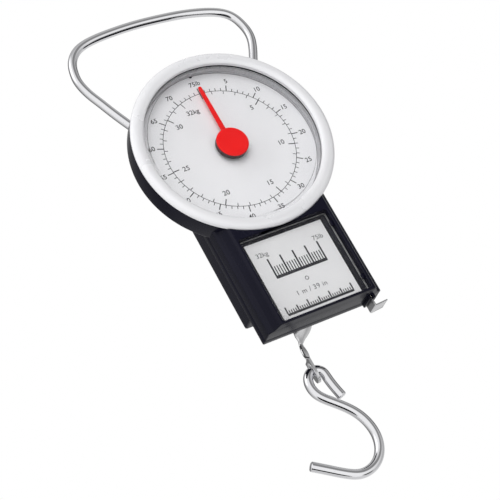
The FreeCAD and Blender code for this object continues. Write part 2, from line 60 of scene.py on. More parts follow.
# ------------------------------------------------------------------
# The dial's centre is the working origin.  Lengths below are in mm,
# X right, Y back, Z up, and W() turns them into the frame's metres.
# ------------------------------------------------------------------
d_lo, d_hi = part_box("dial_plate")
b_lo, b_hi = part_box("dial_bezel")
OX = (b_lo.x + b_hi.x) / 2
OY = d_lo.y
OZ = (b_lo.z + b_hi.z) / 2


def W(x, y, z):
    return (OX + x * 1e-3, OY + y * 1e-3, OZ + z * 1e-3)


def to_frame(co):
    co = np.asarray(co, float)
    return co * 1e-3 + np.array([OX, OY, OZ])


# ------------------------------------------------------------------
# mesh helpers
# ------------------------------------------------------------------
def mesh_object(name, verts, faces, smooth=True):
    me = bpy.data.meshes.new(name)
    me.from_pydata([tuple(v) for v in verts], [], faces)
    me.validate()
    bm = bmesh.new()
    bm.from_mesh(me)
    bmesh.ops.remove_doubles(bm, verts=bm.verts, dist=1e-7)
    bmesh.ops.recalc_face_normals(bm, faces=bm.faces)
    bm.to_mesh(me)
    bm.free()
    if smooth:
        for p in me.polygons:
            p.use_smooth = True
    ob = bpy.data.objects.new(name, me)
    sc.collection.objects.link(ob)
    return ob


def lathe(name, profile, seg=256, cx=0.0, cz=0.0, closed=True):
    """profile of (r, y) in mm turned about an axis along Y through (cx, cz)"""
    verts, faces, rows = [], [], []
    for r, y in profile:
        if abs(r) < 1e-6:
            rows.append([len(verts)])
            verts.append(W(cx, y, cz))
        else:
            row = []
            for i in range(seg):
                a = 2 * math.pi * i / seg
                row.append(len(verts))
                verts.append(W(cx + r * math.cos(a), y, cz + r * math.sin(a)))
            rows.append(row)
    n = len(rows)
    pairs = [(i, i + 1) for i in range(n - 1)] + ([(n - 1, 0)] if closed and len(rows[0]) > 1 and len(rows[-1]) > 1 else [])
    for a, b in pairs:
        A, B = rows[a], rows[b]
        if len(A) == 1 and len(B) == 1:
            continue
        for i in range(seg):
            j = (i + 1) % seg
            if len(A) == 1:
                faces.append((A[0], B[i], B[j]))
            elif len(B) == 1:
                faces.append((A[i], B[0], A[j]))
            else:
                faces.append((A[i], B[i], B[j], A[j]))
    return mesh_object(name, verts, faces)


def round_profile(pts, radii, steps=6):
    """closed 2-D polygon with each corner rounded by its radius"""
    out = []
    n = len(pts)
    for i in range(n):
        p = np.array(pts[i], float)
        a = np.array(pts[i - 1], float) - p
        b = np.array(pts[(i + 1) % n], float) - p
        la, lb = np.linalg.norm(a), np.linalg.norm(b)
        r = radii[i] if hasattr(radii, "__len__") else radii
        if r <= 0:
            out.append(tuple(p))
            continue
        a, b = a / la, b / lb
        ang = math.acos(max(-1, min(1, float(a @ b))))
        t = min(r / math.tan(ang / 2), 0.48 * la, 0.48 * lb)
        r2 = t * math.tan(ang / 2)
        bis = (a + b) / np.linalg.norm(a + b)
        c = p + bis * (r2 / math.sin(ang / 2))
        s, e = p + a * t - c, p + b * t - c
        th = math.acos(max(-1, min(1, float(s @ e) / (r2 * r2))))
        for k in range(steps + 1):
            u = k / steps
            if th < 1e-6:
                v = s
            else:
                v = (math.sin((1 - u) * th) * s + math.sin(u * th) * e) / math.sin(th)
            out.append(tuple(c + v))
    return out


def prism(name, pts, lo, hi, axis="z"):
    """closed polygon pushed from lo to hi along an axis.  axis z: pts are (x, y); axis y: pts are (x, z); axis x: pts are (y, z)"""
    verts = []
    for h in (lo, hi):
        for p in pts:
            if axis == "z":
                verts.append(W(p[0], p[1], h))
            elif axis == "y":
                verts.append(W(p[0], h, p[1]))
            else:
                verts.append(W(h, p[0], p[1]))
    n = len(pts)
    faces = [tuple(range(n))[::-1], tuple(range(n, 2 * n))]
    for i in range(n):
        j = (i + 1) % n
        faces.append((i, j, n + j, n + i))
    return mesh_object(name, verts, faces, smooth=False)


def box(name, x0, x1, y0, y1, z0, z1):
    return prism(name, [(x0, y0), (x1, y0), (x1, y1), (x0, y1)], z0, z1)


def boolean(target, tool, op="DIFFERENCE", keep=False):
    m = target.modifiers.new("b", "BOOLEAN")
    m.operation = op
    m.solver = "EXACT"
    m.object = tool
    apply_mods(target)
    if not keep:
        bpy.data.objects.remove(tool, do_unlink=True)
    return target


def apply_mods(ob):
    bpy.context.view_layer.update()
    dg = bpy.context.evaluated_depsgraph_get()
    me = bpy.data.meshes.new_from_object(ob.evaluated_get(dg))
    old = ob.data
    ob.modifiers.clear()
    ob.data = me
    me.name = ob.name
    if old.users == 0:
        bpy.data.meshes.remove(old)
    return ob


def bevel(ob, width, segs=3, angle=28.0, apply=True):
    m = ob.modifiers.new("bevel", "BEVEL")
    m.width = width * 1e-3
    m.segments = segs
    m.limit_method = "ANGLE"
    m.angle_limit = math.radians(angle)
    m.harden_normals = False
    m.use_clamp_overlap = True
    if apply:
        apply_mods(ob)
    return ob


def shade(ob, angle=35.0):
    me = ob.data
    for p in me.polygons:
        p.use_smooth = True
    try:
        me.set_sharp_from_angle(angle=math.radians(angle))
    except Exception:
        pass
    return ob


def merge(ob, dist=1e-7):
    bm = bmesh.new()
    bm.from_mesh(ob.data)
    bmesh.ops.remove_doubles(bm, verts=bm.verts, dist=dist)
    bmesh.ops.dissolve_degenerate(bm, edges=bm.edges, dist=1e-7)
    bmesh.ops.recalc_face_normals(bm, faces=bm.faces)
    bm.to_mesh(ob.data)
    bm.free()
    return ob


def join(name, obs):
    bm = bmesh.new()
    mats = []
    for o in obs:
        tmp = o.data.copy()
        if o.data.materials:
            for i, m in enumerate(o.data.materials):
                if m not in mats:
                    mats.append(m)
            for p in tmp.polygons:
                p.material_index = mats.index(o.data.materials[p.material_index])
        bm.from_mesh(tmp)
        bpy.data.meshes.remove(tmp)
    me = bpy.data.meshes.new(name)
    bm.to_mesh(me)
    bm.free()
    for m in mats:
        me.materials.append(m)
    for o in obs:
        bpy.data.objects.remove(o, do_unlink=True)
    ob = bpy.data.objects.new(name, me)
    sc.collection.objects.link(ob)
    return ob


def natural_spline(pts, t0=None, t1=None, n=300):
    """cubic spline through points, chord-length parameter, optional end tangents; returns (points, tangents)"""
    P = np.array(pts, float)
    k = len(P)
    s = np.concatenate([[0], np.cumsum(np.linalg.norm(np.diff(P, axis=0), axis=1))])
    h = np.diff(s)
    A = np.zeros((k, k))
    Bm = np.zeros((k, P.shape[1]))
    # solve for tangents m
    for i in range(1, k - 1):
        A[i, i - 1] = 1 / h[i - 1]
        A[i, i] = 2 * (1 / h[i - 1] + 1 / h[i])
        A[i, i + 1] = 1 / h[i]
        Bm[i] = 3 * ((P[i] - P[i - 1]) / h[i - 1] ** 2 + (P[i + 1] - P[i]) / h[i] ** 2)
    if t0 is None:
        A[0, 0], A[0, 1] = 2, 1
        Bm[0] = 3 * (P[1] - P[0]) / h[0]
    else:
        A[0, 0] = 1
        Bm[0] = t0
    if t1 is None:
        A[-1, -1], A[-1, -2] = 2, 1
        Bm[-1] = 3 * (P[-1] - P[-2]) / h[-1]
    else:
        A[-1, -1] = 1
        Bm[-1] = t1
    M = np.linalg.solve(A, Bm)
    out, tan = [], []
    for u in np.linspace(0, s[-1], n):
        i = min(max(int(np.searchsorted(s, u, side="right")) - 1, 0), k - 2)
        x = (u - s[i]) / h[i]
        h00, h10, h01, h11 = 2 * x**3 - 3 * x**2 + 1, x**3 - 2 * x**2 + x, -2 * x**3 + 3 * x**2, x**3 - x**2
        out.append(h00 * P[i] + h10 * h[i] * M[i] + h01 * P[i + 1] + h11 * h[i] * M[i + 1])
        d = ((6 * x**2 - 6 * x) * P[i] / h[i] + (3 * x**2 - 4 * x + 1) * M[i] + (-6 * x**2 + 6 * x) * P[i + 1] / h[i] + (3 * x**2 - 2 * x) * M[i + 1])
        tan.append(d / np.linalg.norm(d))
    return np.array(out), np.array(tan)


def wire_tube(name, path, radius, seg=40, chamfer=0.28, flat=None, uvscale=1.0):
    """round wire along a path in mm, its ends cut square with a small chamfer"""
    P = np.array(path, float)
    T = np.gradient(P, axis=0)
    T /= np.linalg.norm(T, axis=1)[:, None]
    ref = np.array([0.0, 1.0, 0.0])
    N = ref - (T @ ref)[:, None] * T
    N /= np.linalg.norm(N, axis=1)[:, None]
    Bn = np.cross(T, N)
    # extra rings for the chamfered ends
    rows = [(P[0], N[0], Bn[0], radius - chamfer), (P[0] + T[0] * chamfer * 0.35, N[0], Bn[0], radius - chamfer * 0.35), (P[0] + T[0] * chamfer, N[0], Bn[0], radius)]
    L0 = chamfer * 1.2
    s = np.concatenate([[0], np.cumsum(np.linalg.norm(np.diff(P, axis=0), axis=1))])
    for i in range(len(P)):
        if L0 < s[i] < s[-1] - L0:
            rows.append((P[i], N[i], Bn[i], radius))
    rows += [(P[-1] - T[-1] * chamfer, N[-1], Bn[-1], radius), (P[-1] - T[-1] * chamfer * 0.35, N[-1], Bn[-1], radius - chamfer * 0.35), (P[-1], N[-1], Bn[-1], radius - chamfer)]
    verts, faces = [], []
    for p, nn, bb, r in rows:
        for k in range(seg):
            a = 2 * math.pi * k / seg
            v = p + r * (math.cos(a) * nn + math.sin(a) * bb)
            verts.append(W(*v))
    for i in range(len(rows) - 1):
        for k in range(seg):
            j = (k + 1) % seg
            faces.append((i * seg + k, i * seg + j, (i + 1) * seg + j, (i + 1) * seg + k))
    c0 = len(verts)
    verts.append(W(*rows[0][0]))
    c1 = len(verts)
    verts.append(W(*rows[-1][0]))
    last = (len(rows) - 1) * seg
    for k in range(seg):
        j = (k + 1) % seg
        faces.append((c0, j, k))
        faces.append((c1, last + k, last + j))
    ob = mesh_object(name, verts, faces)
    return shade(ob, 40)


# ------------------------------------------------------------------
# materials
# ------------------------------------------------------------------
class Mat:
    def __init__(self, name):
        self.m = bpy.data.materials.new(name)
        self.m.use_nodes = True
        self.nt = self.m.node_tree
        self.nt.nodes.clear()
        self.out = self.nt.nodes.new("ShaderNodeOutputMaterial")
        self.b = self.nt.nodes.new("ShaderNodeBsdfPrincipled")
        self.link(self.b.outputs[0], self.out.inputs["Surface"])
        self.tc = self.nt.nodes.new("ShaderNodeTexCoord")

    def link(self, a, b):
        self.nt.links.new(a, b)

    def n(self, kind, **kw):
        x = self.nt.nodes.new(kind)
        for k, v in kw.items():
            if k == "inp":
                for kk, vv in v.items():
                    x.inputs[kk].default_value = vv
            else:
                setattr(x, k, v)
        return x

    def set(self, **kw):
        names = {"color": "Base Color", "metal": "Metallic", "rough": "Roughness", "ior": "IOR", "spec": "Specular IOR Level",
                 "coat": "Coat Weight", "coat_rough": "Coat Roughness", "alpha": "Alpha", "trans": "Transmission Weight",
                 "aniso": "Anisotropic", "sss": "Subsurface Weight"}
        for k, v in kw.items():
            self.b.inputs[names[k]].default_value = v

    def coords(self, scale=(1, 1, 1), rot=(0, 0, 0), loc=(0, 0, 0)):
        mp = self.n("ShaderNodeMapping")
        mp.inputs["Scale"].default_value = scale
        mp.inputs["Rotation"].default_value = rot
        mp.inputs["Location"].default_value = loc
        self.link(self.tc.outputs["Object"], mp.inputs["Vector"])
        return mp.outputs["Vector"]

    def noise(self, vec, scale, detail=4.0, rough=0.55, dist=0.0):
        x = self.n("ShaderNodeTexNoise")
        x.inputs["Scale"].default_value = scale
        x.inputs["Detail"].default_value = detail
        x.inputs["Roughness"].default_value = rough
        x.inputs["Distortion"].default_value = dist
        self.link(vec, x.inputs["Vector"])
        return x

    def ramp(self, fac, stops):
        r = self.n("ShaderNodeValToRGB")
        el = r.color_ramp.elements
        while len(el) > 1:
            el.remove(el[-1])
        el[0].position = stops[0][0]
        el[0].color = stops[0][1]
        for p, c in stops[1:]:
            e = el.new(p)
            e.color = c
        self.link(fac, r.inputs["Fac"])
        return r.outputs["Color"]

    def maprange(self, v, a, b, c, d):
        x = self.n("ShaderNodeMapRange")
        for i, q in enumerate((a, b, c, d)):
            x.inputs[1 + i].default_value = q
        self.link(v, x.inputs[0])
        return x.outputs[0]

    def bump(self, height, strength, distance):
        x = self.n("ShaderNodeBump")
        x.inputs["Strength"].default_value = strength
        x.inputs["Distance"].default_value = distance
        self.link(height, x.inputs["Height"])
        return x

    def math(self, op, a, b=None):
        x = self.n("ShaderNodeMath", operation=op)
        for i, v in enumerate((a, b)):
            if v is None:
                continue
            if isinstance(v, (int, float)):
                x.inputs[i].default_value = v
            else:
                self.link(v, x.inputs[i])
        return x.outputs[0]


def g(v, a=1.0):
    return (v, v, v, a)


def lin(r, gg, b):
    f = lambda c: (c / 255 / 12.92) if c / 255 <= 0.04045 else ((c / 255 + 0.055) / 1.055) ** 2.4
    return (f(r), f(gg), f(b), 1.0)


def m_black_plastic(name, base=(0.0055, 0.0055, 0.0120), rough=0.22, grain=0.55):
    M = Mat(name)
    v = M.coords()
    big = M.noise(v, 28.0, 3.0)
    fine = M.noise(v, 900.0, 3.0, 0.6)
    dust = M.noise(v, 2600.0, 2.0, 0.7)
    # colour: deep blue-black with very faint cloudiness and dust
    c = M.ramp(big.outputs["Fac"], [(0.3, (base[0] * 0.85, base[1] * 0.85, base[2] * 0.9, 1)), (0.7, (base[0] * 1.25, base[1] * 1.25, base[2] * 1.3, 1))])
    d = M.ramp(dust.outputs["Fac"], [(0.70, g(0.0)), (0.80, g(1.0))])
    mix = M.n("ShaderNodeMix", data_type="RGBA", blend_type="MIX")
    mf = M.math("MULTIPLY", d, 0.03)
    M.link(mf, mix.inputs[0])
    M.link(c, mix.inputs[6])
    mix.inputs[7].default_value = (0.12, 0.12, 0.13, 1)
    M.link(mix.outputs[2], M.b.inputs["Base Color"])
    r1 = M.maprange(big.outputs["Fac"], 0.3, 0.7, rough - 0.05, rough + 0.07)
    r2 = M.maprange(fine.outputs["Fac"], 0.3, 0.7, -0.03, 0.04)
    M.link(M.math("ADD", r1, r2), M.b.inputs["Roughness"])
    # orange peel and faint flow waves
    peel = M.noise(v, 420.0, 2.0, 0.5)
    wave = M.noise(M.coords((1, 1, 0.25)), 60.0, 2.0, 0.5)
    h = M.math("ADD", M.math("MULTIPLY", peel.outputs["Fac"], 0.35), M.math("MULTIPLY", wave.outputs["Fac"], 1.0))
    bp = M.bump(h, 0.22 * grain, 0.00025)
    M.link(bp.outputs[0], M.b.inputs["Normal"])
    M.set(ior=1.5, spec=0.13)
    return M.m


def m_metal(name, color, rough=0.12, lines=(900, 900, 20), bump=0.12, cloud=0.06, spots=True):
    """plated steel: polish marks, soft cloudiness and small pits"""
    M = Mat(name)
    v = M.coords()
    vl = M.coords(lines)
    ln = M.noise(vl, 1.0, 4.0, 0.6)
    big = M.noise(v, 45.0, 3.0)
    c = M.ramp(big.outputs["Fac"], [(0.3, (color[0] * 0.93, color[1] * 0.93, color[2] * 0.94, 1)), (0.7, (*color, 1))])
    if spots:
        pit = M.noise(v, 1500.0, 2.0, 0.7)
        pr = M.ramp(pit.outputs["Fac"], [(0.27, g(0.55)), (0.34, g(1.0))])
        mul = M.n("ShaderNodeMix", data_type="RGBA", blend_type="MULTIPLY")
        mul.inputs[0].default_value = 0.5
        M.link(c, mul.inputs[6])
        M.link(pr, mul.inputs[7])
        c = mul.outputs[2]
    M.link(c, M.b.inputs["Base Color"])
    r = M.math("ADD", M.maprange(ln.outputs["Fac"], 0.3, 0.7, rough * 0.75, rough * 1.35), M.maprange(big.outputs["Fac"], 0.35, 0.7, 0.0, cloud))
    M.link(r, M.b.inputs["Roughness"])
    bp = M.bump(ln.outputs["Fac"], bump, 0.00008)
    M.link(bp.outputs[0], M.b.inputs["Normal"])
    M.set(metal=1.0)
    return M.m


def m_bezel():
    M = Mat("bezel_satin")
    v = M.coords()
    big = M.noise(v, 35.0, 3.0)
    fine = M.noise(v, 500.0, 2.0, 0.5)
    c = M.ramp(big.outputs["Fac"], [(0.3, (0.70, 0.70, 0.72, 1)), (0.7, (0.73, 0.73, 0.745, 1))])
    M.link(c, M.b.inputs["Base Color"])
    r = M.math("ADD", M.maprange(big.outputs["Fac"], 0.3, 0.7, 0.26, 0.34), M.maprange(fine.outputs["Fac"], 0.3, 0.7, -0.006, 0.006))
    M.link(r, M.b.inputs["Roughness"])
    bp = M.bump(fine.outputs["Fac"], 0.01, 0.00001)
    M.link(bp.outputs[0], M.b.inputs["Normal"])
    M.set(metal=0.12, ior=1.5, coat=0.25, coat_rough=0.12)
    return M.m


def m_dial():
    M = Mat("dial_print_stock")
    v = M.coords()
    fib = M.noise(v, 1400.0, 4.0, 0.65)
    big = M.noise(v, 22.0, 2.0)
    c = M.ramp(big.outputs["Fac"], [(0.3, (0.91, 0.91, 0.935, 1)), (0.7, (0.94, 0.94, 0.96, 1))])
    f = M.ramp(fib.outputs["Fac"], [(0.35, g(0.975)), (0.65, g(1.0))])
    mul = M.n("ShaderNodeMix", data_type="RGBA", blend_type="MULTIPLY")
    mul.inputs[0].default_value = 1.0
    M.link(c, mul.inputs[6])
    M.link(f, mul.inputs[7])
    M.link(mul.outputs[2], M.b.inputs["Base Color"])
    M.link(M.maprange(fib.outputs["Fac"], 0.3, 0.7, 0.42, 0.52), M.b.inputs["Roughness"])
    bp = M.bump(fib.outputs["Fac"], 0.05, 0.00005)
    M.link(bp.outputs[0], M.b.inputs["Normal"])
    return M.m


def m_card():
    M = Mat("label_card_stock")
    v = M.coords()
    fib = M.noise(v, 1700.0, 4.0, 0.65)
    big = M.noise(v, 30.0, 2.0)
    c = M.ramp(big.outputs["Fac"], [(0.3, (0.90, 0.90, 0.915, 1)), (0.7, (0.93, 0.93, 0.94, 1))])
    M.link(c, M.b.inputs["Base Color"])
    M.link(M.maprange(fib.outputs["Fac"], 0.3, 0.7, 0.40, 0.55), M.b.inputs["Roughness"])
    bp = M.bump(fib.outputs["Fac"], 0.06, 0.00005)
    M.link(bp.outputs[0], M.b.inputs["Normal"])
    return M.m


def m_ink(name, col, rough=0.45):
    M = Mat(name)
    v = M.coords()
    f = M.noise(v, 2200.0, 3.0, 0.6)
    c = M.ramp(f.outputs["Fac"], [(0.35, (col[0] * 0.8, col[1] * 0.8, col[2] * 0.8, 1)), (0.68, (min(1, col[0] * 1.35), min(1, col[1] * 1.35), min(1, col[2] * 1.35), 1))])
    M.link(c, M.b.inputs["Base Color"])
    M.link(M.maprange(f.outputs["Fac"], 0.3, 0.7, rough - 0.05, rough + 0.1), M.b.inputs["Roughness"])
    return M.m


def m_red():
    M = Mat("pointer_red")
    v = M.coords()
    f = M.noise(v, 700.0, 3.0, 0.6)
    big = M.noise(v, 60.0, 2.0)
    c = M.ramp(big.outputs["Fac"], [(0.3, (0.90, 0.001, 0.002, 1)), (0.7, (0.95, 0.003, 0.003, 1))])
    M.link(c, M.b.inputs["Base Color"])
    M.link(M.maprange(f.outputs["Fac"], 0.3, 0.7, 0.34, 0.46), M.b.inputs["Roughness"])
    bp = M.bump(f.outputs["Fac"], 0.08, 0.00008)
    M.link(bp.outputs[0], M.b.inputs["Normal"])
    M.set(ior=1.46, spec=0.2)
    return M.m


def m_clear(name, alpha_lo=0.012, alpha_hi=0.6, tint=(1.0, 1.0, 1.0), body=0.92):
    """clear moulded plastic: the surface's gloss over what lies behind it"""
    M = Mat(name)
    v = M.coords()
    fr = M.n("ShaderNodeFresnel")
    fr.inputs["IOR"].default_value = 1.49
    haze = M.noise(v, 55.0, 3.0)
    scr = M.noise(M.coords((40, 40, 900), (0.3, 0.0, 0.5)), 1.0, 3.0, 0.6)
    a = M.maprange(fr.outputs[0], 0.03, 0.6, alpha_lo, alpha_hi)
    a = M.math("ADD", a, M.maprange(haze.outputs["Fac"], 0.45, 0.75, 0.0, 0.02))
    M.link(a, M.b.inputs["Alpha"])
    M.link(M.maprange(scr.outputs["Fac"], 0.35, 0.7, 0.03, 0.10), M.b.inputs["Roughness"])
    bp = M.bump(haze.outputs["Fac"], 0.05, 0.0002)
    M.link(bp.outputs[0], M.b.inputs["Normal"])
    M.set(color=(*[t * body for t in tint], 1.0), ior=1.49, spec=0.5)
    return M.m


MAT = {}
MAT["black"] = m_black_plastic("housing_black")
MAT["inner"] = m_black_plastic("inner_black", (0.02, 0.02, 0.022), 0.5, 1.5)
MAT["chrome"] = m_metal("chrome_wire", (0.82, 0.82, 0.835), 0.085, (500, 500, 500), 0.03, 0.03)
MAT["nickel"] = m_metal("nickel_strip", (0.70, 0.70, 0.705), 0.20, (260, 2400, 260), 0.10, 0.06)
MAT["steel"] = m_metal("spring_steel", (0.42, 0.42, 0.43), 0.30, (900, 900, 900), 0.15, 0.08)
MAT["screw"] = m_metal("screw_zinc", (0.56, 0.56, 0.55), 0.28, (1200, 200, 1200), 0.2, 0.1)
MAT["brass"] = m_metal("brass_turned", (0.72, 0.53, 0.22), 0.24, (200, 3000, 200), 0.2, 0.08)
MAT["bezel"] = m_bezel()
MAT["dial"] = m_dial()
MAT["rim"] = m_ink("rim_grey", (0.50, 0.50, 0.52), 0.30)
# near-black collar colour: painted shade standing in for the shaded side wall under the pointer hub
MAT["collar"] = m_ink("collar_painted_shade", (0.020, 0.002, 0.003), 0.5)
MAT["card"] = m_card()
MAT["red"] = m_red()
MAT["lens"] = m_clear("lens_clear", 0.010, 0.5, body=0.15)
MAT["window"] = m_clear("window_clear", 0.02, 0.8, body=0.3)
# edge material: near-white body at high alpha, a painted highlight standing in for the bright reflections along the
# window's edges
MAT["window_edge"] = m_clear("window_edge_painted_highlight", 0.34, 0.9, body=0.8)
MAT["ink"] = m_ink("dial_ink", (0.010, 0.010, 0.014))
MAT["ink2"] = m_ink("card_ink", (0.012, 0.012, 0.018))
MAT["ink3"] = m_ink("card_ink_grey", (0.18, 0.18, 0.20))
MAT["tape"] = m_ink("tape_pale", (0.62, 0.60, 0.48), 0.4)


def put(ob, mat, body, *cad, slot=None):
    ob.data.materials.clear()
    ob.data.materials.append(MAT[mat])
    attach(ob, body)
    if cad:
        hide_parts(*cad)
    if slot:
        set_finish(ob, slot)
    return ob


def bm_box(name, x0, x1, y0, y1, z0, z1, bevels=()):
    """box with chosen edges rounded; bevels is a list of (test(midpoint mm, direction), width mm, segments)"""
    bm = bmesh.new()
    vs = [bm.verts.new(W(x, y, z)) for x in (x0, x1) for y in (y0, y1) for z in (z0, z1)]
    for f in ((0, 1, 3, 2), (4, 6, 7, 5), (0, 4, 5, 1), (2, 3, 7, 6), (0, 2, 6, 4), (1, 5, 7, 3)):
        bm.faces.new([vs[i] for i in f])
    bmesh.ops.recalc_face_normals(bm, faces=bm.faces)
    for test, width, segs in bevels:
        sel = []
        for e in bm.edges:
            a, b = e.verts[0].co, e.verts[1].co
            m = ((a.x + b.x) / 2 * 1e3 - OX * 1e3, (a.y + b.y) / 2 * 1e3 - OY * 1e3, (a.z + b.z) / 2 * 1e3 - OZ * 1e3)
            d = (b - a).normalized()
            if test(m, d) and len(e.link_faces) == 2 and e.calc_face_angle(0) > 0.6:
                sel.append(e)
        bmesh.ops.bevel(bm, geom=sel, offset=width * 1e-3, segments=segs, profile=0.5, affect="EDGES", clamp_overlap=True)
    me = bpy.data.meshes.new(name)
    bm.to_mesh(me)
    bm.free()
    ob = bpy.data.objects.new(name, me)
    sc.collection.objects.link(ob)
    return ob


def cyl(name, r, a, b, axis, c1, c2, seg=96, flare=None):
    """cylinder from a to b along an axis; axis y: centre (x, z); axis x: centre (y, z); axis z: centre (x, y).
    flare = (extra radius, depth) widens both mouths a little"""
    rows = [(r, a), (r, b)]
    if flare:
        fr, fd, a1, b1 = flare
        rows = [(r + fr, a), (r + fr, a1), (r, a1 + fd), (r, b1 - fd), (r + fr, b1), (r + fr, b)]
    verts, faces = [], []
    for rr, h in rows:
        for k in range(seg):
            t = 2 * math.pi * k / seg
            u, v = c1 + rr * math.cos(t), c2 + rr * math.sin(t)
            verts.append(W(u, h, v) if axis == "y" else W(h, u, v) if axis == "x" else W(u, v, h))
    n = len(rows)
    for i in range(n - 1):
        for k in range(seg):
            j = (k + 1) % seg
            faces.append((i * seg + k, i * seg + j, (i + 1) * seg + j, (i + 1) * seg + k))
    faces.append(tuple(range(seg))[::-1])
    faces.append(tuple(range((n - 1) * seg, n * seg)))
    return mesh_object(name, verts, faces, smooth=False)


def frustum_y(name, rects):
    """stack of rectangles (x0, x1, z0, z1, y, corner radius) joined front to back"""
    verts, faces, n = [], [], None
    for x0, x1, z0, z1, y, r in rects:
        ring = round_profile([(x0, z0), (x1, z0), (x1, z1), (x0, z1)], r, 6) if r > 0 else None
        if ring is None:
            ring = []
            for p in ((x0, z0), (x1, z0), (x1, z1), (x0, z1)):
                ring += [p] * 1
        n = len(ring)
        verts += [W(p[0], y, p[1]) for p in ring]
    m = len(rects)
    for i in range(m - 1):
        for k in range(n):
            j = (k + 1) % n
            faces.append((i * n + k, i * n + j, (i + 1) * n + j, (i + 1) * n + k))
    faces.append(tuple(range(n))[::-1])
    faces.append(tuple(range((m - 1) * n, m * n)))
    return mesh_object(name, verts, faces, smooth=False)


# ------------------------------------------------------------------
# front housing: round pan and tape case
# ------------------------------------------------------------------
HEAD_R, HEAD_F, SEAM = 39.4, -5.6, 4.4
prof = [(HEAD_R, SEAM), (HEAD_R, HEAD_F), (37.8, HEAD_F), (37.8, 2.8), (36.5, 2.8), (36.5, -4.1), (34.9, -4.1), (34.9, 0.5), (33.0, 0.5), (33.0, 2.8)]
rad = [1.3, 0.35, 0.3, 0.3, 0.2, 0.15, 0.2, 0.1, 0.1, 0.0]
body = [(0.0, SEAM), (30.0, SEAM)] + prof + [(0.0, 2.8)]
rads = [0, 0] + rad + [0]
rp = round_profile(body, rads, 7)
pan = lathe("front_shell", rp, seg=288, closed=False)

side = [(-24.3, SEAM), (-24.3, -0.8), (-23.6, -1.5), (-22.4, -2.0), (-21.6, -3.6), (-20.9, -5.3), (-20.2, -6.3)]
outline = side + [(-x, y) for x, y in reversed(side)]
sr = [0.12, 0.35, 0.25, 0.3, 0.4, 0.6, 0.7]
ring = round_profile(outline, sr + sr[::-1], 5)
cvs, cfs = [], []
levels = [(-24.0, 0.0)] + [(-75.6 - 0.5 * math.sin(t), 0.5 * (1 - math.cos(t))) for t in np.linspace(0, math.pi / 2, 7)]
for z, inset in levels:
    for x, y in ring:
        cvs.append(W(x * (1 - inset / 24.3), -0.95 + (y + 0.95) * (1 - inset / 5.35) if y < 4.3 else y, z))
nr = len(ring)
for i in range(len(levels) - 1):
    for k in range(nr):
        j = (k + 1) % nr
        cfs.append((i * nr + k, i * nr + j, (i + 1) * nr + j, (i + 1) * nr + k))
cfs.append(tuple(range(nr))[::-1])
cfs.append(tuple(range((len(levels) - 1) * nr, len(levels) * nr)))
case = mesh_object("case", cvs, cfs, smooth=False)
boolean(case, box("t", -22.8, 22.8, -0.4, SEAM + 2, -74.6, -23.0))
boolean(case, frustum_y("t", [(-19.5, 19.5, -75.5, -39.5, -9, 1.3), (-19.4, 19.4, -75.4, -39.6, -6.3, 1.2), (-19.1, 19.1, -75.1, -39.9, -6.0, 0.9), (-19.1, 19.1, -75.1, -39.9, -2.5, 0.9)]))
boolean(case, frustum_y("t", [(-17.0, 17.0, -74.6, -41.1, -3, 0.4), (-17.0, 17.0, -74.6, -41.1, -1.9, 0.4)]))
boolean(case, box("t", 19.2, 21.0, -0.15, SEAM + 1, -77.1, -74.1))
# the neck between the pan and the case follows the pan's wall
boolean(case, cyl("t", 38.9, -40, 40, "y", 0, 0, 288))
boolean(case, cyl("t", 39.9, -40, -5.55, "y", 0, 0, 288))
shell = boolean(pan, case, "UNION")
boolean(shell, cyl("t", 2.5, -1, 8, "y", 0, 0, 64))
merge(shell, 2e-6)
shade(shell, 32)
put(shell, "black", "housing", "front_housing", slot="black_plastic")

# lips that hold the window, each a small rounded clip
clips = []
for sx, z in ((-1, -45.5), (-1, -69.5), (1, -45.5), (1, -69.5)):
    x0, x1 = sorted((sx * 18.2, sx * 19.5))
    clips.append(bm_box("window_clip", x0, x1, -5.0, -4.0, z - 1.1, z + 1.1, [(lambda m, d: True, 0.3, 4)]))
clips = join("window_clips", clips)
shade(clips, 40)
put(clips, "black", "housing", slot="black_plastic")

# spindle boss and upper screw bosses inside
inner = [lathe("boss", round_profile([(2.5, 0.7), (4.2, 0.7), (4.2, 6.6), (2.5, 6.6)], 0.15, 3), 64)]
for sx in (-1, 1):
    inner.append(lathe("boss", round_profile([(1.1, 1.5), (2.6, 0.9), (2.6, 4.3), (1.1, 4.3)], 0.1, 3), 48, sx * 17.5, 25.0))
inner = join("shell_bosses", inner)
put(inner, "black", "housing", slot="black_plastic")

# ------------------------------------------------------------------
# rear housing: back of the tape case and spring housing
# ------------------------------------------------------------------
slab = bm_box("rear_shell", -24.3, 24.3, SEAM, 8.6, -76.1, -24.0, [(lambda m, d: m[1] > 8.5, 0.8, 5), (lambda m, d: m[1] < 8.5 and abs(d.y) > 0.7, 0.45, 4), (lambda m, d: m[1] < SEAM + 0.01, 0.12, 2)])
hump = bm_box("hump", -21.8, 21.8, SEAM, 22.5, -63.7, 30.0, [(lambda m, d: m[1] > 22.4, 2.4, 8), (lambda m, d: abs(d.y) > 0.7, 0.9, 4)])
boolean(slab, cyl("t", 39.4, -40, SEAM + 0.001, "y", 0, 0, 288))
rear = boolean(slab, hump, "UNION")
boolean(rear, box("t", -22.8, 22.8, SEAM - 1, 7.0, -74.6, -25.5))
boolean(rear, box("t", -20.3, 20.3, SEAM - 1, 21.2, -62.2, 28.5))
boolean(rear, cyl("t", 1.88, -30, 30, "x", 10.2, 18.0, 64, flare=(0.3, 0.3, -21.85, 21.85)))
for sx in (-1, 1):
    x0, x1 = sorted((sx * 17.5, sx * 17.5))
    post = lathe("post", round_profile([(1.1, SEAM), (2.6, SEAM), (2.6, 22.0), (2.1, 22.0), (2.1, 20.6), (1.1, 20.6)], 0.0, 2), 48, sx * 17.5, 25.0)
    boolean(rear, cyl("t", 2.3, 20.6, 30, "y", sx * 17.5, 25.0, 64))
    inner2 = post
    put(inner2, "black", "housing", slot="black_plastic")
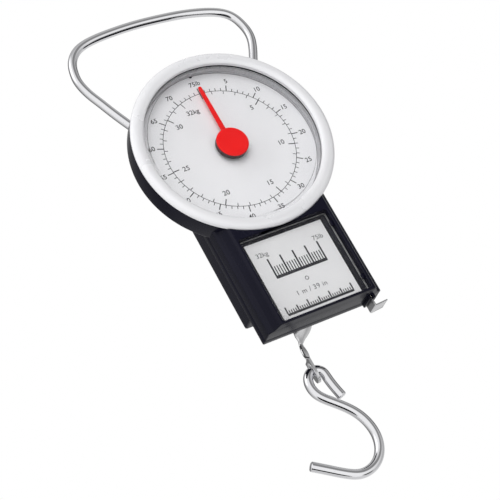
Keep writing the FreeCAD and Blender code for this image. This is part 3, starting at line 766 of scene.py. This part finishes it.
boolean(rear, cyl("t", 2.1, 7.1, 30, "y", -20.6, -73.3, 64))
boolean(rear, frustum_y("t", [(-8.9, 1.5, -64.9, -61.0, 15.9, 0.5), (-8.9, 1.5, -64.9, -61.0, 18.1, 0.5)]))
boolean(rear, box("t", 19.2, 21.0, SEAM - 1, 7.0, -77.1, -74.1))
merge(rear, 2e-6)
shade(rear, 32)
put(rear, "black", "housing", "rear_housing", slot="black_plastic")
bosses = [lathe("b", round_profile([(2.5, 19.2), (4.2, 19.2), (4.2, 21.6), (0.0, 21.6), (0.0, 21.55), (2.5, 21.55)], 0.0, 2), 64, closed=False)]
for sx in (-1, 1):
    bosses.append(cyl("b", 2.9, 18.2, 21.6, "y", sx * 11.0, 22.0, 48))
    ring = [(1.88, sx * 18.6), (3.4, sx * 18.6), (3.4, sx * 20.4), (1.88, sx * 20.4)]
    vs, fs = [], []
    sg = 48
    for r_, x_ in ring:
        for k in range(sg):
            t = 2 * math.pi * k / sg
            vs.append(W(x_, 10.2 + r_ * math.cos(t), 18.0 + r_ * math.sin(t)))
    for i in range(4):
        for k in range(sg):
            j = (k + 1) % sg
            fs.append((i * sg + k, i * sg + j, ((i + 1) % 4) * sg + j, ((i + 1) % 4) * sg + k))
    bosses.append(mesh_object("b", vs, fs))
bosses = join("rear_bosses", bosses)
shade(bosses, 35)
put(bosses, "inner", "housing", slot="inner_plastic")

# ------------------------------------------------------------------
# bezel, lens, dial plate
# ------------------------------------------------------------------
BEZ_IN = 34.6
dome, _t = natural_spline([(39.7, -5.65), (39.6, -5.95), (39.2, -6.45), (38.5, -6.95), (37.7, -7.2), (36.7, -7.3), (35.7, -7.15), (35.0, -6.85), (BEZ_IN, -6.5)], n=40)
bz = [(float(r), float(y)) for r, y in dome] + [(BEZ_IN, -5.3), (BEZ_IN + 0.06, -5.1), (36.4, -5.1), (36.4, -4.3), (37.6, -4.3), (37.6, -5.6), (39.6, -5.6)]
bezel = lathe("bezel_ring", bz, 288)
shade(bezel, 40)
put(bezel, "bezel", "housing", "dial_bezel", slot="silver_bezel")

lp = [(0, -5.7), (20, -5.7), (32.6, -5.7), (33.1, -5.66), (33.4, -5.5), (33.55, -5.25), (33.55, -5.0), (36.2, -5.0), (36.2, -4.15), (33.0, -4.15), (32.7, -4.6), (20, -4.6), (0, -4.6)]
lens = lathe("lens", lp, 288, closed=False)
shade(lens, 30)
put(lens, "lens", "housing", "dial_lens", slot="clear_lens")
lens.visible_shadow = False

rimp = [(34.88, -0.04), (34.88, -4.05), (34.35, -4.05), (34.38, -3.55), (34.62, -3.5), (34.62, -3.25), (34.4, -3.2), (34.44, -1.5), (34.66, -1.45), (34.66, -1.15), (34.46, -1.1), (34.5, -0.04)]
rim = lathe("dial_rim_ring", rimp, 288)
shade(rim, 30)
put(rim, "rim", "housing", slot="silver_bezel")

dial = lathe("dial_face", [(0, 0.0), (34.35, 0.0), (34.5, 0.12), (34.5, 0.5), (0, 0.5)], 288, closed=False)
boolean(dial, cyl("t", 1.7, -2, 2, "y", 0, 0, 48))
boolean(dial, cyl("t", 0.8, -2, 2, "y", 0, 34.6, 40))
shade(dial, 30)
put(dial, "dial", "housing", "dial_plate", slot="dial_print")

# ------------------------------------------------------------------
# printing on the dial: rings, ticks and figures
# ------------------------------------------------------------------
INK_Y = -0.02


def quad_xz(pts, y):
    return [W(p[0], y, p[1]) for p in pts]


def tick(verts, faces, ang, r0, r1, w, y=INK_Y):
    """radial tick at ang degrees clockwise from the top"""
    a = math.radians(ang)
    u = (math.sin(a), math.cos(a))
    v = (u[1], -u[0])
    n = len(verts)
    for r, s in ((r0, -1), (r1, -1), (r1, 1), (r0, 1)):
        verts.append(W(u[0] * r + v[0] * w / 2 * s, y, u[1] * r + v[1] * w / 2 * s))
    faces.append((n, n + 1, n + 2, n + 3))


def ringband(verts, faces, r, w, y=INK_Y, seg=360):
    n = len(verts)
    for k in range(seg):
        a = 2 * math.pi * k / seg
        for rr in (r - w / 2, r + w / 2):
            verts.append(W(rr * math.cos(a), y, rr * math.sin(a)))
    for k in range(seg):
        j = (k + 1) % seg
        faces.append((n + 2 * k, n + 2 * k + 1, n + 2 * j + 1, n + 2 * j))


def text_mesh(s, size, cx, cz, y, thin=0.0, wide=1.0, tilt=0.0, space=1.0):
    """upright text facing the front; size is the height of a figure in mm; centred on (cx, cz)"""
    cu = bpy.data.curves.new("txt", "FONT")
    cu.body = s
    cu.size = 1.0
    cu.offset = thin
    cu.space_character = space
    cu.resolution_u = 6
    ob = bpy.data.objects.new("txt", cu)
    sc.collection.objects.link(ob)
    bpy.context.view_layer.update()
    dg = bpy.context.evaluated_depsgraph_get()
    me = bpy.data.meshes.new_from_object(ob.evaluated_get(dg))
    bpy.data.objects.remove(ob, do_unlink=True)
    bpy.data.curves.remove(cu)
    co = np.array([v.co for v in me.vertices], float).reshape(-1, 3)
    lo, hi = co.min(0), co.max(0)
    k = size / 0.7            # the built-in figures are about 0.7 of the size high
    ct, st = math.cos(tilt), math.sin(tilt)
    for v in me.vertices:
        x = (v.co.x - (lo[0] + hi[0]) / 2) * k * wide
        z = (v.co.y - (lo[1] + hi[1]) / 2) * k
        v.co = W(cx + x * ct - z * st, y, cz + x * st + z * ct)
    o2 = bpy.data.objects.new("txt", me)
    sc.collection.objects.link(o2)
    return o2


U = 26.08
V_, F_ = [], []
ringband(V_, F_, U, 0.22)
for k in range(75):
    a = k * 360 / 75
    if k % 5 == 0:
        tick(V_, F_, a, U, U * 1.10, 0.38)
    else:
        tick(V_, F_, a, U, U * 1.05, 0.27)
for k in range(0, 35):
    a = k * 2.20462 / 75 * 360
    if a > 352:
        break
    if k % 5 == 0:
        tick(V_, F_, a, U * 0.90, U, 0.38)
    else:
        tick(V_, F_, a, U * 0.945, U, 0.27)
tick(V_, F_, 32 * 2.20462 / 75 * 360, U * 0.90, U, 0.26)
marks = [mesh_object("marks", V_, F_, smooth=False)]
for k in range(5, 75, 5):
    a = math.radians(k * 360 / 75)
    rr = U * 1.18
    marks.append(text_mesh(str(k), 1.95, rr * math.sin(a), rr * math.cos(a), INK_Y, thin=0.010))
marks.append(text_mesh("75lb", 1.95, 0.0, U * 1.185, INK_Y, thin=0.010))
for s, x, z in (("5", 0.64, 0.52), ("10", 0.78, -0.18), ("15", 0.285, -0.74), ("20", -0.42, -0.67), ("25", -0.79, -0.10), ("30", -0.56, 0.575), ("32kg", -0.25, 0.73)):
    marks.append(text_mesh(s, 2.0, x * U, z * U, INK_Y, thin=0.010))
marks = join("dial_marks", marks)
put(marks, "ink", "housing", slot="dial_print")

# ------------------------------------------------------------------
# pointer: a red disc with a tapering arm, on a collar coloured near-black as painted shade for the hub's shaded side
# wall
# ------------------------------------------------------------------
hub = lathe("pointer_hub", [(0.0, -4.30), (0.9, -4.30), (3.0, -4.32), (5.4, -4.36), (6.0, -4.33), (6.28, -4.21), (6.38, -4.08), (6.38, -3.96), (6.2, -3.9), (0.0, -3.9)], 128, closed=False)
shade(hub, 30)
# collar under the hub, coloured near-black: painted shade for the hub's side wall in shadow
collar = lathe("pointer_collar", [(0.0, -3.88), (6.2, -3.88), (6.35, -3.8), (6.35, -1.75), (6.2, -1.6), (2.2, -1.6), (2.2, -0.9), (1.0, -0.9), (0.0, -0.9)], 128, closed=False)
shade(collar, 30)
put(collar, "collar", "spindle", slot="red_pointer")
arm = prism("arm", round_profile([(-1.0, 4.0), (1.0, 4.0), (0.72, 27.1), (0.45, 27.7), (-0.45, 27.7), (-0.72, 27.1)], [0, 0, 0.35, 0.35, 0.35, 0.35], 4), -2.75, -1.95, axis="y")
bevel(arm, 0.12, 3, 40)
shade(arm, 40)
pointer = join("pointer_red", [hub, arm])
put(pointer, "red", "spindle", "pointer", slot="red_pointer")

# ------------------------------------------------------------------
# bail
# ------------------------------------------------------------------
full = [(24.2, 20.3), (25.3, 23.4), (29.0, 30.2), (34.0, 39.6), (37.1, 46.2), (38.2, 50.1), (38.25, 54.0), (37.45, 57.8), (36.0, 61.2),
        (33.3, 64.05), (29.9, 65.9), (26.25, 67.15), (22.4, 68.1), (14.7, 69.4), (6.85, 70.1), (-1.0, 70.5), (-8.8, 70.5),
        (-16.6, 70.05), (-24.3, 69.15), (-28.1, 68.3), (-31.8, 66.8), (-34.95, 64.25), (-37.1, 60.9), (-38.2, 57.0), (-38.5, 52.9),
        (-37.75, 48.8), (-36.4, 45.0), (-34.7, 41.4), (-33.0, 37.7), (-29.5, 30.5), (-25.6, 23.6), (-24.2, 20.3)]
curve, _t = natural_spline(full, t0=(0.0, 1.0), t1=(0.0, -1.0), n=460)
end = [(x, 18.0) for x in np.linspace(17.4, 21.9, 9)[:-1]]
for k in range(0, 13):
    a = math.pi / 2 * k / 12
    end.append((21.9 + 2.3 * math.sin(a), 18.0 + 2.3 * (1 - math.cos(a))))
pth = end + [tuple(p) for p in curve[1:-1]] + [(-x, z) for x, z in reversed(end)]
bail = wire_tube("bail_wire", [(x, 10.2, z) for x, z in pth], 1.8, 48)
put(bail, "chrome", "bail", "bail_handle", slot="wire_chrome")

# ------------------------------------------------------------------
# S-hook
# ------------------------------------------------------------------
hp = [(-2.2, -102.8), (-3.2, -98.6), (-3.9, -94.0), (-4.6, -91.0), (-7.4, -89.45), (-10.3, -90.8), (-11.7, -94.2), (-11.0, -98.2), (-7.6, -102.5),
      (-3.4, -106.8), (-0.2, -111.2), (1.6, -115.9), (2.0, -120.8), (0.7, -125.6), (-2.4, -129.5), (-6.8, -131.6), (-11.4, -131.6),
      (-15.6, -129.7), (-20.9, -126.1), (-26.9, -121.9)]
hcurve, _t = natural_spline(hp, n=420)
hook = wire_tube("hook_wire", [(x, 17.0, z) for x, z in hcurve], 1.87, 48, chamfer=0.4)
put(hook, "chrome", "hook", "s_hook", slot="wire_chrome")

# ------------------------------------------------------------------
# rack strip: head, twisted neck, eye
# ------------------------------------------------------------------
STRIP = 1.2
MECH = 17.0
EYE_X, HOLE_Z = -7.5, -89.0


def smooth01(t):
    t = max(0.0, min(1.0, t))
    return t * t * (3 - 2 * t)


ZB = -85.2
KEYS = [(-72.5, 0, 9.1, -3.6, 0.6), (-74.0, 3, 8.6, -3.9, 2.4), (-75.6, 8, 6.8, -4.9, 2.4), (-77.0, 22, 4.2, -6.0, 1.4), (-78.6, 42, 1.9, -6.8, 0.2),
        (-80.0, 42, 3.6, -6.9, 0.0), (-82.0, 44, 4.9, -6.9, 0.0), (-84.0, 52, 5.6, -7.1, 0.0), (ZB, 82, 6.7, EYE_X, 0.0)]
kz = [-k[0] for k in KEYS]


def key(i, z):
    """value of a column of KEYS at height z, its corners smoothed"""
    if z <= ZB:
        return KEYS[-1][i]
    h = min(0.7, z - ZB)
    return float(np.mean([np.interp(-z + d, kz, [k[i] for k in KEYS]) for d in np.linspace(-h, h, 9)]))


zs = list(np.linspace(-42.0, -72.5, 24)) + list(np.linspace(-72.5, ZB, 70))[1:] + list(np.linspace(ZB, -91.2, 28))[1:] + [-91.2 - 3.35 * math.sin(t) for t in np.linspace(0, math.pi / 2, 22)[1:]]
verts, faces = [], []
nsec = None
for z in zs:
    a, w, xc, fold = math.radians(key(1, z)), key(2, z), key(3, z), key(4, z)
    if z > -72.5:
        fold *= max(0.0, min(1.0, (-69.0 - z) / 3.5))
    t = STRIP if z < -84 else 0.95 + 0.25 * max(0.0, min(1.0, (z + 72.0) / 3.0))
    if z < -91.2:
        w = 2 * math.sqrt(max(0.0004, 3.35 ** 2 - (z + 91.2) ** 2))
    r = min(0.26, w * 0.4, t * 0.4)
    # above the neck the sheet leans forward and its right side is folded back
    ss = np.linspace(-1, 1, 13)
    lean = 2.0 * max(0.0, min(1.0, (-66.0 - z) / 7.0)) * max(0.0, min(1.0, (z + 78.4) / 5.0))
    fy = -lean + fold * 0.5 * ((ss - 0.3) + np.sqrt((ss - 0.3) ** 2 + 0.02))
    dx = w / 2 * 1.0
    nrm = [(-(g_ / dx), 1.0) for g_ in np.gradient(fy, ss)]
    nrm = [(a_ / math.hypot(a_, b_), b_ / math.hypot(a_, b_)) for a_, b_ in nrm]
    front_, back_ = [], []
    for q_, s_ in enumerate(ss):
        x_ = s_ * (dx - (r * 0.35 if q_ in (0, 12) else 0))
        h_ = t / 2 if 0 < q_ < 12 else t / 2 - r
        front_.append((x_ - nrm[q_][0] * h_, fy[q_] - nrm[q_][1] * h_))
        back_.append((x_ + nrm[q_][0] * h_, fy[q_] + nrm[q_][1] * h_))
    ring = front_ + back_[::-1]
    nsec = len(ring)
    ca, sa = math.cos(a), math.sin(a)
    for px, py in ring:
        verts.append(W(xc + px * ca - py * sa, MECH + px * sa + py * ca, z))
m = len(zs)
for i in range(m - 1):
    for k in range(nsec):
        j = (k + 1) % nsec
        faces.append((i * nsec + k, i * nsec + j, (i + 1) * nsec + j, (i + 1) * nsec + k))
faces.append(tuple(range(nsec))[::-1])
faces.append(tuple(range((m - 1) * nsec, m * nsec)))
strip = mesh_object("strip", verts, faces)
hole = cyl("t", 2.6, EYE_X - 5, EYE_X + 5, "x", MECH, HOLE_Z, 72, flare=(0.22, 0.22, EYE_X - 0.62, EYE_X + 0.62))
c0 = Vector(W(EYE_X, MECH, 0))
hole.data.transform(Matrix.Translation(c0) @ Matrix.Rotation(math.radians(-8), 4, "Z") @ Matrix.Translation(-c0))
boolean(strip, hole)
merge(strip, 1e-6)
shade(strip, 38)
headpts = [(-7.4, 25.8), (-6.2, 27.2), (5.5, 27.2), (6.7, 25.8), (6.7, -32.5), (14.3, -34.6), (14.3, -40.0), (3.0, -41.2), (0.95, -43.0), (-8.15, -43.0), (-9.0, -41.2), (-14.3, -40.0), (-14.3, -34.6), (-7.4, -32.5)]
head = prism("head", round_profile(headpts, 0.4, 3), MECH - STRIP / 2, MECH + STRIP / 2, axis="y")
boolean(head, box("t", -4.3, 4.6, MECH - 3, MECH + 3, -5.0, 24.0))
for sx in (-1, 1):
    boolean(head, cyl("t", 1.3, 10, 30, "y", sx * 11.0, -38.0, 32))
mod = 0.4
tp = math.pi * mod
rk = [(4.65, -4.9)]
for k in range(-4, 19):
    c = (k + 0.5) * tp
    if c - tp / 2 < -4.9 or c + tp / 2 > 23.9:
        continue
    rk += [(3 + 1.15 * mod, c - tp * 0.40), (3.0, c - tp * 0.215), (3 - 0.85 * mod, c - tp * 0.10), (3 - 0.85 * mod, c + tp * 0.10), (3.0, c + tp * 0.215), (3 + 1.15 * mod, c + tp * 0.40)]
rk += [(4.65, 23.9)]
rack = prism("rack", rk, MECH - STRIP / 2, MECH + STRIP / 2, axis="y")
bevel(head, 0.12, 2, 50)
shade(head, 35)
drawbar = join("rack_strip", [strip, head, rack])
put(drawbar, "nickel", "drawbar", "rack_drawbar", slot="plated_strip")

# ------------------------------------------------------------------
# label window, and what is printed on the card behind it
# ------------------------------------------------------------------
win = frustum_y("window_pane", [(-18.6, 18.6, -74.6, -40.4, -3.9, 0.8), (-19.0, 19.0, -75.0, -40.0, -3.5, 1.0), (-19.0, 19.0, -75.0, -40.0, -2.52, 1.0)])
bevel(win, 0.08, 2, 30)
shade(win, 30)
put(win, "window", "housing", "label_window", slot="clear_window")
# the sloped edge faces get the near-white, mostly opaque edge material: painted highlight for the window's bright
# outline
win.data.materials.append(MAT["window_edge"])
for p in win.data.polygons:
    if 0.15 < abs(p.normal.y) < 0.97:
        p.material_index = 1
win.visible_shadow = False

LX0, LX1, LZ0, LZ1 = -16.6, 16.6, -74.2, -41.5
CY = -2.225


def lx(f):
    return LX0 + f * (LX1 - LX0)


def lz(f):
    return LZ1 - f * (LZ1 - LZ0)


def rect(verts, faces, fx0, fx1, fz0, fz1, y=CY):
    n = len(verts)
    verts += [W(lx(fx0), y, lz(fz0)), W(lx(fx1), y, lz(fz0)), W(lx(fx1), y, lz(fz1)), W(lx(fx0), y, lz(fz1))]
    faces.append((n, n + 1, n + 2, n + 3))


cv, cf = [], []
# a bold ruler with graded ticks across the middle of the card
rect(cv, cf, 0.165, 0.83, 0.462, 0.500)
for i in range(21):
    f = 0.175 + (0.82 - 0.175) * i / 20
    h = 0.235 if i % 5 == 0 else 0.125
    wd = 0.0100 if i % 5 == 0 else 0.0062
    rect(cv, cf, f - wd, f + wd, 0.470 - h, 0.470)
# a second, finer ruler along the foot
rect(cv, cf, 0.066, 0.925, 0.932, 0.960)
for i in range(31):
    f = 0.072 + (0.919 - 0.072) * i / 30
    h = 0.088 if i % 10 == 0 else 0.070 if i % 5 == 0 else 0.042
    wd = 0.0085 if i % 5 == 0 else 0.0058
    rect(cv, cf, f - wd, f + wd, 0.935 - h, 0.935)
pieces = [mesh_object("card_marks", cv, cf, smooth=False)]
pieces.append(text_mesh("32kg", 1.9, lx(0.145), lz(0.175), CY, thin=-0.004))
pieces.append(text_mesh("75lb", 1.9, lx(0.86), lz(0.19), CY, thin=-0.004))
pieces.append(text_mesh("1 m / 39 in", 1.9, lx(0.485), lz(0.742), CY, thin=0.0, space=1.1))
# small ring in the middle
rv, rf = [], []
for k in range(40):
    a = 2 * math.pi * k / 40
    for rr in (0.55, 0.80):
        rv.append(W(lx(0.49) + rr * math.cos(a), CY, lz(0.61) + rr * math.sin(a)))
for k in range(40):
    j = (k + 1) % 40
    rf.append((2 * k, 2 * k + 1, 2 * j + 1, 2 * j))
pieces.append(mesh_object("ring", rv, rf, smooth=False))
cmarks = join("card_print", pieces)
put(cmarks, "ink2", "housing", slot="label_paper")

# ------------------------------------------------------------------
# tape: free blade and end piece
# ------------------------------------------------------------------
TX, TY0, TY1 = 20.1, 0.35, 6.75
bv, bf = [], []
rows = 48
for i in range(rows + 1):
    z = -57.6 - (76.9 - 57.6) * i / rows
    for x, y in ((TX - 0.11, TY0), (TX + 0.11, TY0), (TX + 0.11, TY1), (TX - 0.11, TY1)):
        bv.append(W(x, y, z))
for i in range(rows):
    for k in range(4):
        j = (k + 1) % 4
        bf.append((i * 4 + k, i * 4 + j, (i + 1) * 4 + j, (i + 1) * 4 + k))
bf.append((0, 1, 2, 3))
bf.append((rows * 4 + 3, rows * 4 + 2, rows * 4 + 1, rows * 4))
blade = mesh_object("tape_strip", bv, bf, smooth=False)
blade.data.materials.append(MAT["tape"])
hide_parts("tape_blade")
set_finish(blade, "tape_ribbon")
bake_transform(blade)

zb = -80.45
pro = [(TX - 0.30, -76.7), (TX + 0.30, -76.7), (TX + 0.30, zb + 0.62), (TX + 5.4, zb + 0.92), (TX + 5.4, zb + 0.42), (TX + 0.2, zb), (TX - 0.30, zb + 0.35)]
tip = prism("tape_tip", round_profile(pro, [0.1, 0.1, 0.35, 0.15, 0.15, 0.3, 0.25], 4), TY0 - 0.05, TY1 + 0.05, axis="y")
bevel(tip, 0.12, 3, 40)
lips = [bm_box("mouth_lips", 18.75, 19.72, -0.5, 7.3, -77.35, -75.9, [(lambda m, d: m[2] < -77.3 or abs(d.z) > 0.7, 0.22, 3)]),
        bm_box("mouth_lips", 20.48, 21.5, -0.5, 7.3, -77.35, -75.9, [(lambda m, d: m[2] < -77.3 or abs(d.z) > 0.7, 0.22, 3)])]
lips = join("mouth_lips", lips)
shade(lips, 40)
put(lips, "black", "housing", slot="black_plastic")
rivets = [tip]
for dy in (1.9, 4.6):
    vs, fs = [], []
    sg = 32
    for r_, x_ in ((0.7, TX + 0.28), (0.7, TX + 0.42), (0.62, TX + 0.50), (0.42, TX + 0.55), (0.0001, TX + 0.57)):
        for k in range(sg):
            t = 2 * math.pi * k / sg
            vs.append(W(x_, TY0 + dy + r_ * math.cos(t), -78.1 + r_ * math.sin(t)))
    for i in range(4):
        for k in range(sg):
            j = (k + 1) % sg
            fs.append((i * sg + k, i * sg + j, (i + 1) * sg + j, (i + 1) * sg + k))
    rivets.append(mesh_object("rivet", vs, fs))
tip = join("tape_end_plate", rivets)
shade(tip, 35)
put(tip, "nickel", "tape_end", "tape_end_piece", slot="plated_strip")

# ------------------------------------------------------------------
# load springs: close coils with a tall loop at each end
# ------------------------------------------------------------------
SR, SW = 3.1, 0.75
top_in, bot_in = 22.0 + 1.6, -38.0 - 1.55
zt_arc, zb_arc = top_in + SW - SR, bot_in - SW + SR
zt, zb_ = zt_arc - 5.0, zb_arc + 5.0
for sx, nm in ((-1, "left"), (1, "right")):
    cx, cy = sx * 11.0, 13.6
    p = [(cx - SR, cy, zt_arc - 1.6), (cx - SR, cy, zt_arc)]
    p += [(cx - SR * math.cos(t), cy, zt_arc + SR * math.sin(t)) for t in np.linspace(0, math.pi, 13)[1:]]
    p += [(cx + SR, cy, zt + 1.4)]
    turns = 24
    for i in range(turns * 20 + 1):
        t = 2 * math.pi * i / 20
        p.append((cx + SR * math.cos(t), cy + SR * math.sin(t), zt + (zb_ - zt) * i / (turns * 20)))
    p += [(cx + SR, cy, zb_ - 1.4), (cx + SR, cy, zb_arc)]
    p += [(cx + SR * math.cos(t), cy, zb_arc - SR * math.sin(t)) for t in np.linspace(0, math.pi, 13)[1:]]
    p += [(cx - SR, cy, zb_arc + 1.6)]
    P = np.array(p)
    T = np.gradient(P, axis=0)
    T /= np.linalg.norm(T, axis=1)[:, None]
    N = np.zeros_like(P)
    n0 = np.array([0.0, 1.0, 0.0])
    for i in range(len(P)):
        n0 = n0 - (n0 @ T[i]) * T[i]
        n0 /= np.linalg.norm(n0)
        N[i] = n0
    Bn = np.cross(T, N)
    seg = 12
    vs, fs = [], []
    for i in range(len(P)):
        for k in range(seg):
            a = 2 * math.pi * k / seg
            vs.append(W(*(P[i] + SW * (math.cos(a) * N[i] + math.sin(a) * Bn[i]))))
    for i in range(len(P) - 1):
        for k in range(seg):
            j = (k + 1) % seg
            fs.append((i * seg + k, i * seg + j, (i + 1) * seg + j, (i + 1) * seg + k))
    fs.append(tuple(range(seg))[::-1])
    fs.append(tuple(range((len(P) - 1) * seg, len(P) * seg)))
    sp = mesh_object("coil_" + nm, vs, fs)
    shade(sp, 50)
    sp.data.materials.append(MAT["steel"])
    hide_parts("load_spring_" + nm)
    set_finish(sp, "spring_steel")
    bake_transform(sp)

# ------------------------------------------------------------------
# CAD pieces that stay as they are get their finishes
# ------------------------------------------------------------------
for node, mat, sl in (("divider_plate", "inner", "inner_plastic"), ("housing_screws", "screw", "screw_steel"), ("spindle_bushings", "brass", "brass"),
                      ("spring_posts", "screw", "screw_steel"), ("spring_studs", "screw", "screw_steel"), ("pinion_spindle", "brass", "brass"),
                      ("spool_axle", "screw", "screw_steel"), ("tape_spool", "inner", "inner_plastic"), ("tape_coil", "tape", "tape_ribbon"),
                      ("tape_return_spring", "steel", "spring_steel"), ("label_card", "card", "label_paper")):
    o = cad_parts[node]
    o.data.materials.clear()
    o.data.materials.append(MAT[mat])
    for p in o.data.polygons:
        p.material_index = 0
    o["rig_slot"] = sl

# ------------------------------------------------------------------
# floor, light and camera
# ------------------------------------------------------------------
fv = [(-4, -4, -0.75), (4, -4, -0.75), (4, 4, -0.75), (-4, 4, -0.75)]
fm = bpy.data.meshes.new("floor")
fm.from_pydata(fv, [], [(0, 1, 2, 3)])
floor = bpy.data.objects.new("floor", fm)
sc.collection.objects.link(floor)
F = Mat("floor_pale")
fn = F.noise(F.coords(), 6.0, 3.0)
F.link(F.ramp(fn.outputs["Fac"], [(0.3, (0.80, 0.80, 0.805, 1)), (0.7, (0.84, 0.84, 0.84, 1))]), F.b.inputs["Base Color"])
F.set(rough=0.7)
fm.materials.append(F.m)
floor.visible_glossy = False

world = bpy.data.worlds.new("studio")
sc.world = world
world.use_nodes = True
nt = world.node_tree
nt.nodes.clear()
wo = nt.nodes.new("ShaderNodeOutputWorld")
bg_cam = nt.nodes.new("ShaderNodeBackground")
bg_cam.inputs["Color"].default_value = (1, 1, 1, 1)
bg_cam.inputs["Strength"].default_value = 1.0
bg_env = nt.nodes.new("ShaderNodeBackground")
mixw = nt.nodes.new("ShaderNodeMixShader")
lpth = nt.nodes.new("ShaderNodeLightPath")
tcw = nt.nodes.new("ShaderNodeTexCoord")
nt.links.new(lpth.outputs["Is Camera Ray"], mixw.inputs[0])
nt.links.new(bg_env.outputs[0], mixw.inputs[1])
nt.links.new(bg_cam.outputs[0], mixw.inputs[2])
nt.links.new(mixw.outputs[0], wo.inputs["Surface"])


def env_lobe(direction, inner, outer):
    """1 inside a cone about the direction, 0 outside, soft between; angles in degrees"""
    d = Vector(direction).normalized()
    vm = nt.nodes.new("ShaderNodeVectorMath")
    vm.operation = "DOT_PRODUCT"
    nt.links.new(tcw.outputs["Generated"], vm.inputs[0])
    vm.inputs[1].default_value = d
    mr = nt.nodes.new("ShaderNodeMapRange")
    mr.interpolation_type = "SMOOTHSTEP"
    mr.inputs[1].default_value = math.cos(math.radians(outer))
    mr.inputs[2].default_value = math.cos(math.radians(inner))
    mr.inputs[3].default_value = 0.0
    mr.inputs[4].default_value = 1.0
    nt.links.new(vm.outputs["Value"], mr.inputs[0])
    return mr.outputs[0]


def env_mix(base, value, fac):
    mx = nt.nodes.new("ShaderNodeMix")
    mx.data_type = "FLOAT"
    nt.links.new(fac, mx.inputs[0])
    if isinstance(base, (int, float)):
        mx.inputs[2].default_value = base
    else:
        nt.links.new(base, mx.inputs[2])
    mx.inputs[3].default_value = value
    return mx.outputs[0]


env = env_mix(0.52, 1.05, env_lobe((-0.40, -0.85, -0.34), 30, 95))    # bright towards the camera, grey behind
env = env_mix(env, 0.28, env_lobe((0.44, -0.80, 0.41), 14, 30))       # grey card, upper right of the camera
env = env_mix(env, 0.22, env_lobe((-0.41, 0.82, 0.41), 20, 42))       # grey behind left
env = env_mix(env, 1.5, env_lobe((-0.75, -0.25, 0.75), 12, 34))       # bright top left
env = env_mix(env, 0.78, env_lobe((0.35, 0.70, -0.62), 20, 60))       # lit floor behind
env = env_mix(env, 0.012, env_lobe((-0.602, -0.321, -0.731), 17, 23))  # dark stands low on the left of the camera
env = env_mix(env, 0.015, env_lobe((-0.427, -0.322, -0.838), 10, 17))
env = env_mix(env, 0.12, env_lobe((0.42, -0.43, -0.80), 9, 16))
env = env_mix(env, 0.10, env_lobe((0.93, 0.08, 0.36), 9, 21))        # dark edge far on the right
nt.links.new(env, bg_env.inputs["Strength"])
bg_env.inputs["Color"].default_value = (1.0, 1.0, 1.0, 1.0)


def area(name, loc, target, size, power, glossy=True, color=(1, 1, 1)):
    li = bpy.data.lights.new(name, "AREA")
    li.shape = "SQUARE"
    li.size = size
    li.energy = power
    li.color = color
    ob = bpy.data.objects.new(name, li)
    sc.collection.objects.link(ob)
    ob.location = Vector(loc)
    ob.rotation_euler = (Vector(target) - Vector(loc)).to_track_quat("-Z", "Y").to_euler()
    ob.visible_glossy = glossy
    ob.visible_camera = False
    return ob


mid = Vector(W(0, 0, -30))
area("front_fill", (-0.25, -1.1, 0.25), mid, 0.9, 6.1, glossy=False)
area("top_soft", (-0.3, -0.3, 1.0), mid, 0.8, 2.5, glossy=False)
area("left_soft", (-1.0, -0.4, 0.1), mid, 0.7, 1.2, glossy=False)
area("floor_bounce", (0.0, 0.0, -0.70), mid, 1.2, 1.0, glossy=False)

R = Matrix(((0.860590154, -0.220996963, -0.458851752), (-0.313309807, 0.480569423, -0.819078747), (0.401524037, 0.848653859, 0.344332798)))
C = (-236.020010309, -469.305358647, -232.962434248)
cam = bpy.data.cameras.new("camera")
cam.lens = 108.0
cam.sensor_width = 36.0
cam.sensor_fit = "HORIZONTAL"
cam.clip_start = 0.01
cam.clip_end = 20.0
co = bpy.data.objects.new("camera", cam)
sc.collection.objects.link(co)
M4 = Matrix.Identity(4)
for i in range(3):
    M4[i][0] = R[0][i]
    M4[i][1] = -R[1][i]
    M4[i][2] = -R[2][i]
loc = W(*C)
for i in range(3):
    M4[i][3] = loc[i]
co.matrix_world = M4
sc.camera = co
sc.view_settings.view_transform = "Standard"
sc.view_settings.look = "None"
